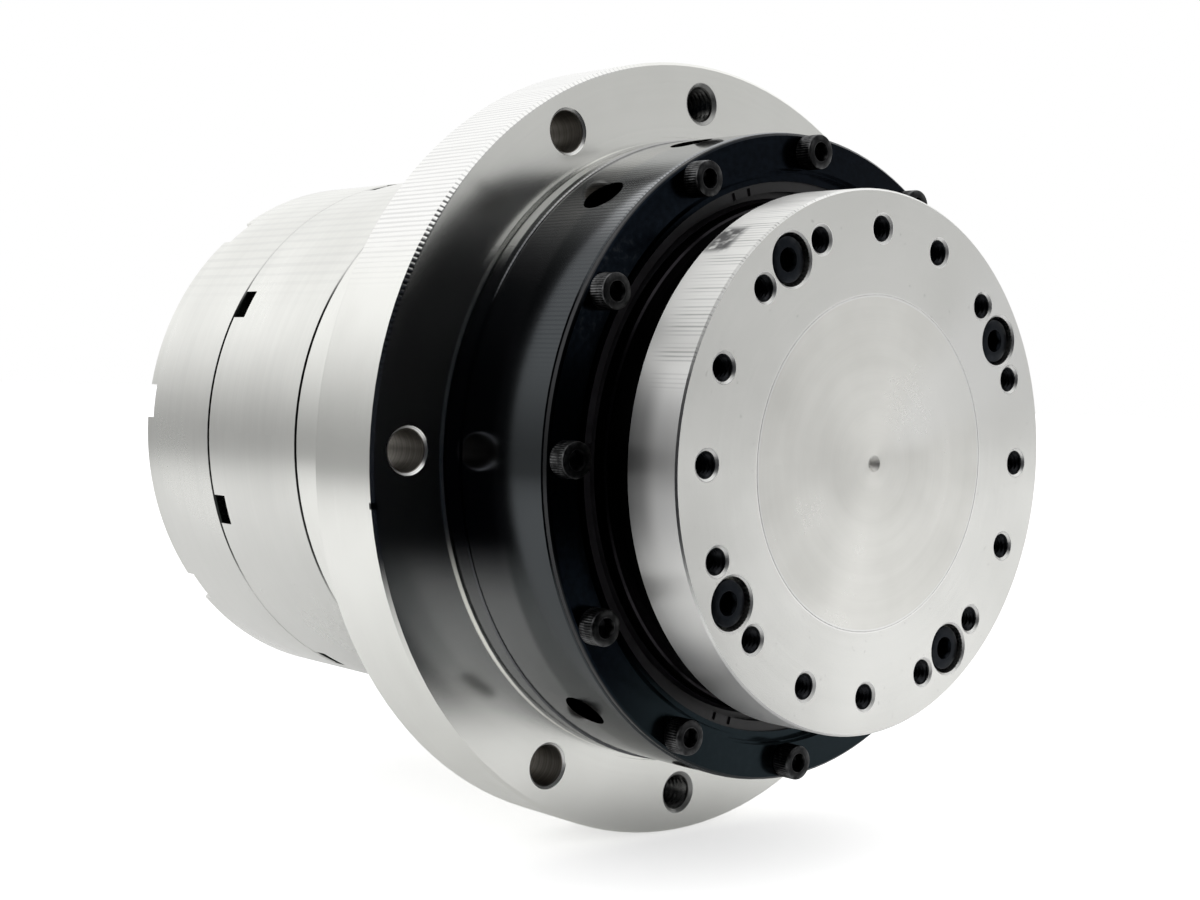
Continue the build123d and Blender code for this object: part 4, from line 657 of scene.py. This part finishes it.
def end_turned(tree, shader, read, light, dark, layers, roughness, spread, stretch, groove, carved=0.0):
    """Feeds the shader. The tone mixes a light and a dark metal, and each layer lays its colour over them by
    its mask. The roughness falls where the tone is light, and the highlight spreads across the grooves."""
    tone = plus_times(tree, read["tone"], 0.3, times(tree, read["patch"], 0.7))
    colour = mixed(tree, step_between(tree, tone, *TURNED_TONE_EDGES), dark, light)
    for mask, layer in layers:
        colour = mixed(tree, mask, colour, layer)
    tree.links.new(colour, shader.inputs["Base Color"])
    rough = plus_times(tree, sum_of(tree, "SUBTRACT", tone, 0.5), -spread, roughness)
    tree.links.new(plus_times(tree, read["grain"], GRAIN_ROUGHNESS, rough), shader.inputs["Roughness"])
    shader.inputs["Metallic"].default_value = 1.0
    shader.inputs["Anisotropic"].default_value = stretch
    shader.inputs["Anisotropic Rotation"].default_value = ACROSS_THE_GROOVES
    lay_grain_round(tree, shader, read["place"])
    bump(tree, shader, plus_times(tree, read["groove"], groove, carved), TURNED_RELIEF)


def within(tree, read, *masks, **limits):
    """Output of any given masks times a step or a soft band of each value that is named."""
    for name, limit in limits.items():
        shape = between if len(limit) == 3 else step_between
        masks += (shape(tree, read[name], *limit),)
    return both(tree, *masks)


def places(tree, read, table, *masks):
    """Outputs of the masks of a table's places, each times any given masks."""
    return {name: within(tree, read, *masks, **limits) for name, limits in table.items()}


def ring_round_holes(tree, read, circle, pitch, start, inner, outer):
    """Output of a ring round every hole of a circle, from one distance off its axis to another."""
    angle = sum_of(tree, "SUBTRACT", read["angle"], start)
    off = use_group(tree, hole_circle, radius=read["radius"], angle=angle, circle=circle, pitch=pitch)
    return between(tree, off["Distance"], inner, outer, HOLE_RING_EDGE)


def chatter_marks(tree, read, lines_per_degree):
    """Outputs of the depth of marks along the axis, and of a mask of their hollows."""
    depth = use_group(tree, axial_marks, angle=read["angle"], height=read["height"],
                      lines_per_degree=lines_per_degree)["Depth"]
    return depth, step_between(tree, depth, 0.5, 0.3)


def flange_finish():
    """Bright turned housing, marked along the axis on the rim's upper left and ticked on the rim's front
    edge, with a painted highlight on the rim's upper left. Holes have walls with drill marks painted dark as
    shade in the bores, and painted highlights on their edges; the ports are painted dark as shade, and the
    rear seam has painted shade where it faces left. The barrel carries a painted dark reflection, lighter at
    its top as painted light and darkest in a band and where it faces left, with a painted highlight and fine
    streaks at its upper left."""
    material, tree, shader, read = start_turned("flange_finish", lines_per_mm=9.0, patch_scale=45.0)
    read["off_right"] = sum_of(tree, "ABSOLUTE", read["angle"])
    depth, hollows = chatter_marks(tree, read, lines_per_degree=1.25)
    at = places(tree, read, FLANGE)
    barrel = places(tree, read, BARREL, at["barrel"])
    # Painted highlight at the barrel's upper left, near its foot
    painted_gleam = both(tree, barrel["painted_gleam"], 0.8)
    walls = both(tree, at["outside"], ring_round_holes(tree, read, **BOLT_HOLE_WALLS))
    lips = both(tree, at["outside"], at["below_chamfer"], ring_round_holes(tree, read, **BOLT_HOLE_LIPS))
    taps = both(tree, at["outside"], ring_round_holes(tree, read, **FLANGE_TAP_LIPS))
    # Drill marks on the bolt holes' walls, in tones painted dark as shade in the bores
    drill = noise(tree, joined(tree, z=read["height"]), scale=2.2, detail=2.0)
    drill_marks_in_shade = mixed(tree, step_between(tree, drill, 0.3, 0.7), (0.19, 0.178, 0.16, 1), (0.32, 0.3, 0.27, 1))
    layers = (
        # Painted dark reflection on the barrel, lighter at its top as painted light, darker still in its band
        # and where it faces left
        (at["barrel"], mixed(tree, at["top"], (0.14, 0.144, 0.15, 1), (0.42, 0.42, 0.415, 1))),
        (barrel["band"], mixed(tree, at["top"], (0.06, 0.066, 0.07, 1), (0.36, 0.37, 0.38, 1))),
        (both(tree, barrel["shade"], 0.85), (0.02, 0.022, 0.03, 1)),
        (both(tree, barrel["streaks"], hollows, 0.45), (0.03, 0.034, 0.04, 1)),
        (painted_gleam, PAINTED_HIGHLIGHT),
        (walls, drill_marks_in_shade),
        # Painted highlights on the bolt holes' edges
        (lips, PAINTED_HIGHLIGHT),
        (both(tree, taps, 0.8), (0.45, 0.45, 0.44, 1)),
        # Ports painted dark as shade in their openings
        (at["ports"], (0.012, 0.015, 0.018, 1)),
        # Painted highlight on the rim's upper left
        (both(tree, at["rim"], 0.9), (0.99, 0.99, 0.975, 1)),
        # Painted shade in the rear seam where it faces left, and the dark nick
        (either(tree, at["seam"], at["nick"]), (0.02, 0.02, 0.022, 1)),
        (both(tree, hollows, at["rim"], 0.32), (0.4, 0.4, 0.4, 1)),
        (both(tree, hollows, at["ticks"]), (0.08, 0.08, 0.08, 1)),
    )
    rough = plus_times(tree, at["above_foot"], -0.05, 0.14)
    rough = plus_times(tree, at["below_face"], 0.05, rough)
    rough = plus_times(tree, either(tree, walls, lips, painted_gleam, taps), 0.25, rough)
    marks = either(tree, both(tree, at["rim"], 0.3), both(tree, barrel["lines"], 0.12), at["ticks"])
    end_turned(tree, shader, read, light=(0.93, 0.932, 0.895, 1), dark=(0.85, 0.852, 0.815, 1),
               layers=layers, roughness=rough, spread=0.06, stretch=0.6,
               groove=plus_times(tree, at["above_foot"], -0.02, 0.035), carved=times(tree, depth, marks))
    return material


def body_finish():
    """Satin turned rings with soft cloudy patches and faint marks along the axis, with painted shade below.
    The seams carry painted shade where they face left, with more painted shade beside them there, and painted
    light elsewhere, and the windows are painted dark as shade."""
    material, tree, shader, read = start_turned("body_finish", lines_per_mm=7.0, patch_scale=38.0)
    read["off_right"] = sum_of(tree, "ABSOLUTE", read["angle"])
    depth, hollows = chatter_marks(tree, read, lines_per_degree=0.4)
    at = places(tree, read, BODY)
    seams = both(tree, at["sunk"], either(tree, at["front_seam"], at["rear_seam"]))
    beside = both(tree, either(tree, at["beside_front_seam"], at["beside_rear_seam"]), at["left"])
    layers = (
        # Painted shade on the lower side
        (both(tree, at["below"], 0.7), (0.62, 0.621, 0.6, 1)),
        (both(tree, at["streaks"], hollows, 0.2), (0.6, 0.6, 0.59, 1)),
        # Seams: painted shade where they face left, painted light elsewhere
        (seams, mixed(tree, at["left"], (0.7, 0.7, 0.68, 1), (0.012, 0.012, 0.014, 1))),
        # Painted shade beside the seams where they face left
        (both(tree, beside, 0.92), (0.03, 0.03, 0.03, 1)),
        # Windows painted dark as shade
        (at["windows"], (0.03, 0.035, 0.032, 1)),
    )
    end_turned(tree, shader, read, light=(0.93, 0.932, 0.895, 1), dark=(0.80, 0.802, 0.77, 1),
               layers=layers, roughness=0.27, spread=0.16, stretch=0.5, groove=0.06,
               carved=both(tree, depth, at["streaks"], 0.08))
    return material


def output_finish():
    """Fine-turned face with a fan of painted highlight, and a duller rim, frosted, smeared and marked along
    the axis at its upper left, with painted shade at the left and lower left. The holes and the cap's gap
    have thin painted highlights on their edges, and the rim's foot another; the underside is painted black as
    shade, and a few dark specks lie all over."""
    material, tree, shader, read = start_turned("output_finish", lines_per_mm=10.0, patch_scale=55.0,
                                                grain_scale=2800.0)
    read["off_right"] = sum_of(tree, "ABSOLUTE", read["angle"])
    depth, hollows = chatter_marks(tree, read, lines_per_degree=1.1)
    at = places(tree, read, OUTPUT)
    rim = places(tree, read, OUTPUT_RIM, at["rim"])
    rings = [ring_round_holes(tree, read, **ring) for ring in (OUTPUT_TAP_LIPS, OUTPUT_SCREW_LIPS)]
    lips = both(tree, at["face"], either(tree, *rings))
    specks = step_between(tree, noise(tree, read["place"], scale=1100.0, detail=1.0), 0.72, 0.78)
    uneven = noise(tree, joined(tree, x=read["angle"]), scale=0.35, detail=2.0)
    ragged = noise(tree, joined(tree, x=read["angle"], y=read["height"]), scale=0.45, detail=2.0)
    smear = both(tree, rim["smear"], step_between(tree, ragged, 0.25, 0.55), 0.85)
    far_left = both(tree, rim["far_left"], 0.55)
    low_left = both(tree, rim["low_left"], 0.6)
    layers = (
        (both(tree, specks, 0.25), (0.4, 0.39, 0.37, 1)),
        # Painted highlight fan on the face
        (both(tree, at["face"], within(tree, read, **PAINTED_FAN), 0.7), (0.98, 0.98, 0.96, 1)),
        # Painted highlights on the holes' edges and on the cap gap's edge
        (either(tree, lips, both(tree, at["face"], at["cap_line"])), BRIGHT_PAINTED_HIGHLIGHT),
        # Underside painted black as shade
        (at["underside"], (0.02, 0.02, 0.02, 1)),
        # Painted highlight along the rim's foot
        (rim["foot"], PAINTED_HIGHLIGHT),
        # Painted shade on the rim's left and lower left, darkest low on the left
        (either(tree, far_left, low_left), (0.36, 0.362, 0.365, 1)),
        (both(tree, far_left, at["lower"]), (0.14, 0.142, 0.145, 1)),
        (both(tree, rim["marked"], hollows, step_between(tree, uneven, 0.4, 0.6), 0.45), (0.2, 0.2, 0.2, 1)),
        (smear, (0.07, 0.07, 0.075, 1)),
    )
    rough = plus_times(tree, at["rim"], 0.15, plus_times(tree, lips, 0.3, 0.2))
    rough = plus_times(tree, rim["frosted"], 0.2, rough)
    end_turned(tree, shader, read, light=(0.88, 0.88, 0.85, 1), dark=(0.80, 0.80, 0.77, 1),
               layers=layers, roughness=rough, spread=0.1, stretch=0.75,
               groove=plus_times(tree, at["rim"], -0.03, 0.04), carved=both(tree, depth, rim["marked"], 0.3))
    return material


def cap_finish():
    """Slightly duller disc, finely mottled, with a fan of painted highlight, a painted highlight on its edge
    and a small mark at its centre."""
    material, tree, shader, read = start_turned("cap_finish", lines_per_mm=5.0, patch_scale=70.0,
                                                grain_scale=1500.0)
    at = places(tree, read, CAP)
    layers = (
        (at["centre"], (0.95, 0.94, 0.91, 1)),
        (both(tree, within(tree, read, **PAINTED_FAN), 0.8), (0.99, 0.99, 0.96, 1)),
        # Painted highlight on the cap's edge
        (at["edge"], BRIGHT_PAINTED_HIGHLIGHT),
    )
    end_turned(tree, shader, read, light=(0.93, 0.925, 0.885, 1), dark=(0.82, 0.815, 0.775, 1),
               layers=layers, roughness=plus_times(tree, at["centre"], 0.4, 0.27), spread=0.1, stretch=0.6,
               groove=0.05)
    return material


def clamp_ring_finish():
    """Glossy blue-black oxide with painted light below, a lighter thin edge and scuffs at two places."""
    material, tree, shader, read = start_turned("clamp_ring_finish", lines_per_mm=6.0, patch_scale=900.0,
                                                grain_scale=3200.0)
    at = places(tree, read, CLAMP_RING)
    scuffed = either(tree, at["upper_scuff"], both(tree, at["lower_scuff"], 0.35))
    layers = (
        # Painted light on the ring's lower side
        (both(tree, at["foot"], 0.7), (0.018, 0.027, 0.031, 1)),
        (both(tree, scuffed, step_between(tree, read["patch"], 0.5, 0.8), 0.15), (0.09, 0.09, 0.088, 1)),
        (both(tree, at["edge"], 0.5), (0.07, 0.07, 0.07, 1)),
    )
    end_turned(tree, shader, read, light=(0.006, 0.009, 0.014, 1), dark=(0.003, 0.0045, 0.007, 1),
               layers=layers, roughness=0.18, spread=0.1, stretch=0.2, groove=0.06)
    return material


def make_finishes():
    """Every finish, by its name."""
    made = {"flange": flange_finish(), "body": body_finish(), "output": output_finish(), "cap": cap_finish(),
            "clamp_ring": clamp_ring_finish()}
    for name, tones in SCREW_METALS.items():
        made[name] = screw_metal(name + "_finish", *tones)
    for name, values in PLAIN_FINISHES.items():
        made[name] = grained(name + "_finish", *values)
    return made


def set_finish(piece, material):
    """Puts one material on a node or a new piece."""
    if piece.material_slots:
        for slot in piece.material_slots:
            slot.link = "DATA"
            slot.material = material
    else:
        piece.data.materials.append(material)


def finish_nodes(finishes):
    """Gives every node its finish, by the material slot that the record names for it or by its own name."""
    slots = {name: node.material_slots[0].material.name.split(".")[0] for name, node in nodes.items()}
    for name, slot in slots.items():
        set_finish(nodes[name], finishes[NODE_FINISHES.get(name, SLOT_FINISHES[slot])])


# Pieces


def add_piece(piece, body, material, replaced=None):
    """Puts a new piece on its body, with its finish, and in the place of a node where it stands for one."""
    set_finish(piece, material)
    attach(piece, body)
    if replaced:
        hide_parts(replaced)


def build_pieces(finishes):
    """The screws with their knurled heads, the threads in the tapped holes, and the light bead round the cap
    that stands as a painted highlight."""
    steel = finishes["screw"]
    black = finishes["black_screw"]
    ring_screws = screw_set("knurled_ring_screws", CLAMP_SCREWS)
    output_screws = screw_set("knurled_output_screws", OUTPUT_SCREWS)
    housing_bolts = screw_set("knurled_housing_bolts", HOUSING_BOLTS, -1)
    output_threads = thread_set("output_threads", OUTPUT_TAPS)
    flange_threads = thread_set("flange_threads", FLANGE_TAPS)
    add_piece(ring_screws, "housing", steel, "clamp_ring_screws")
    add_piece(output_screws, "output", black, "output_screws")
    add_piece(housing_bolts, "housing", steel, "housing_bolts")
    # Threads in tones painted dark as shade inside the tapped holes
    add_piece(output_threads, "output", finishes["thread_in_deep_shade"])
    add_piece(flange_threads, "housing", finishes["thread_in_shade"])
    add_piece(cap_bead("cap_edge_bead"), "output", finishes["bead"])


# Studio


def bearing_of(tree, x, y):
    """Output of the bearing of a direction or a place, from -Y towards +X."""
    return times(tree, sum_of(tree, "ARCTAN2", x, times(tree, y, -1.0)), TO_DEGREES)


def make_floor():
    """A plain pale floor just under the flange, with a little light of its own. Metal sees its far parts as
    dark in front of the object and as grey behind it to the left and far to the right, like the walls above
    them."""
    half = FLOOR_HALF
    mesh = bpy.data.meshes.new("floor")
    corners = [(-half, -half), (half, -half), (half, half), (-half, half)]
    mesh.from_pydata([(x, y, FLOOR_HEIGHT) for x, y in corners], [], [(0, 1, 2, 3)])
    floor = bpy.data.objects.new("floor", mesh)
    bpy.context.scene.collection.objects.link(floor)
    material = bpy.data.materials.new("floor_paint")
    material.use_nodes = True
    tree = material.node_tree
    tree.nodes.clear()
    rays = put(tree, "ShaderNodeLightPath").outputs
    place = put(tree, "ShaderNodeTexCoord").outputs["Object"]
    parts = put(tree, "ShaderNodeSeparateXYZ", {0: place}).outputs
    level = put(tree, "ShaderNodeVectorMath", {0: place, 1: (1.0, 1.0, 0.0)}, operation="MULTIPLY").outputs[0]
    away = put(tree, "ShaderNodeVectorMath", {0: level}, operation="LENGTH").outputs["Value"]
    bearing = bearing_of(tree, parts[0], parts[1])
    colour = FLOOR_COLOUR
    for shade, part in STUDIO_PARTS:
        mask = both(tree, between(tree, bearing, part["left"], part["right"], part["edge"]),
                    step_between(tree, away, part["near"], part["far"]), rays["Is Glossy Ray"])
        colour = mixed(tree, mask, colour, shade)
    shine = times(tree, rays["Is Glossy Ray"], FLOOR_SHINE)
    glow = plus_times(tree, rays["Is Camera Ray"], FLOOR_GLOW, shine)
    shader = put(tree, "ShaderNodeBsdfPrincipled", {
        "Base Color": colour, "Emission Color": colour, "Emission Strength": glow,
        "Roughness": FLOOR_ROUGHNESS, "Specular IOR Level": 0.0,
    })
    put(tree, "ShaderNodeOutputMaterial", {"Surface": shader.outputs[0]})
    mesh.materials.append(material)


def make_world():
    """A white studio, with an unlit room in front, a dark band along the horizon behind to the left and a
    soft grey screen at the front right, each by bearing and rise. The camera sees plain white."""
    world = bpy.data.worlds.new("studio")
    bpy.context.scene.world = world
    world.use_nodes = True
    tree = world.node_tree
    tree.nodes.clear()
    way = put(tree, "ShaderNodeTexCoord").outputs["Generated"]
    parts = put(tree, "ShaderNodeSeparateXYZ", {0: way}).outputs
    rise = times(tree, sum_of(tree, "ARCSINE", parts[2]), TO_DEGREES)
    bearing = bearing_of(tree, parts[0], parts[1])
    colour = STUDIO_WHITE
    for shade, part in STUDIO_PARTS:
        mask = both(tree, between(tree, bearing, part["left"], part["right"], part["edge"]),
                    step_between(tree, rise, part["over"], part["top"]))
        colour = mixed(tree, mask, colour, shade)
    rays = put(tree, "ShaderNodeLightPath").outputs
    shown = mixed(tree, rays["Is Camera Ray"], colour, STUDIO_WHITE)
    direct = either(tree, rays["Is Camera Ray"], rays["Is Glossy Ray"], rays["Is Transmission Ray"])
    seen = put(tree, "ShaderNodeBackground", {"Color": shown, "Strength": 1.0}).outputs[0]
    light = put(tree, "ShaderNodeBackground", {"Color": STUDIO_WHITE, "Strength": STUDIO_LEVEL}).outputs[0]
    mix = put(tree, "ShaderNodeMixShader", {0: direct, 1: light, 2: seen}).outputs[0]
    put(tree, "ShaderNodeOutputWorld", {"Surface": mix})


def make_camera():
    """The camera, from its place and its own right and up directions."""
    data = bpy.data.cameras.new("camera")
    data.lens = CAMERA_LENS
    data.clip_start = CAMERA_NEAR
    camera = bpy.data.objects.new("camera", data)
    right = Vector(CAMERA_RIGHT).normalized()
    up = Vector(CAMERA_UP).normalized()
    turn = Matrix((right, up, right.cross(up))).transposed().to_4x4()
    camera.matrix_world = Matrix.Translation(CAMERA_PLACE) @ turn
    bpy.context.scene.collection.objects.link(camera)
    bpy.context.scene.camera = camera


make_camera()
make_world()
make_floor()
finishes = make_finishes()
finish_nodes(finishes)
build_pieces(finishes)
bpy.context.scene.view_settings.view_transform = "Standard"
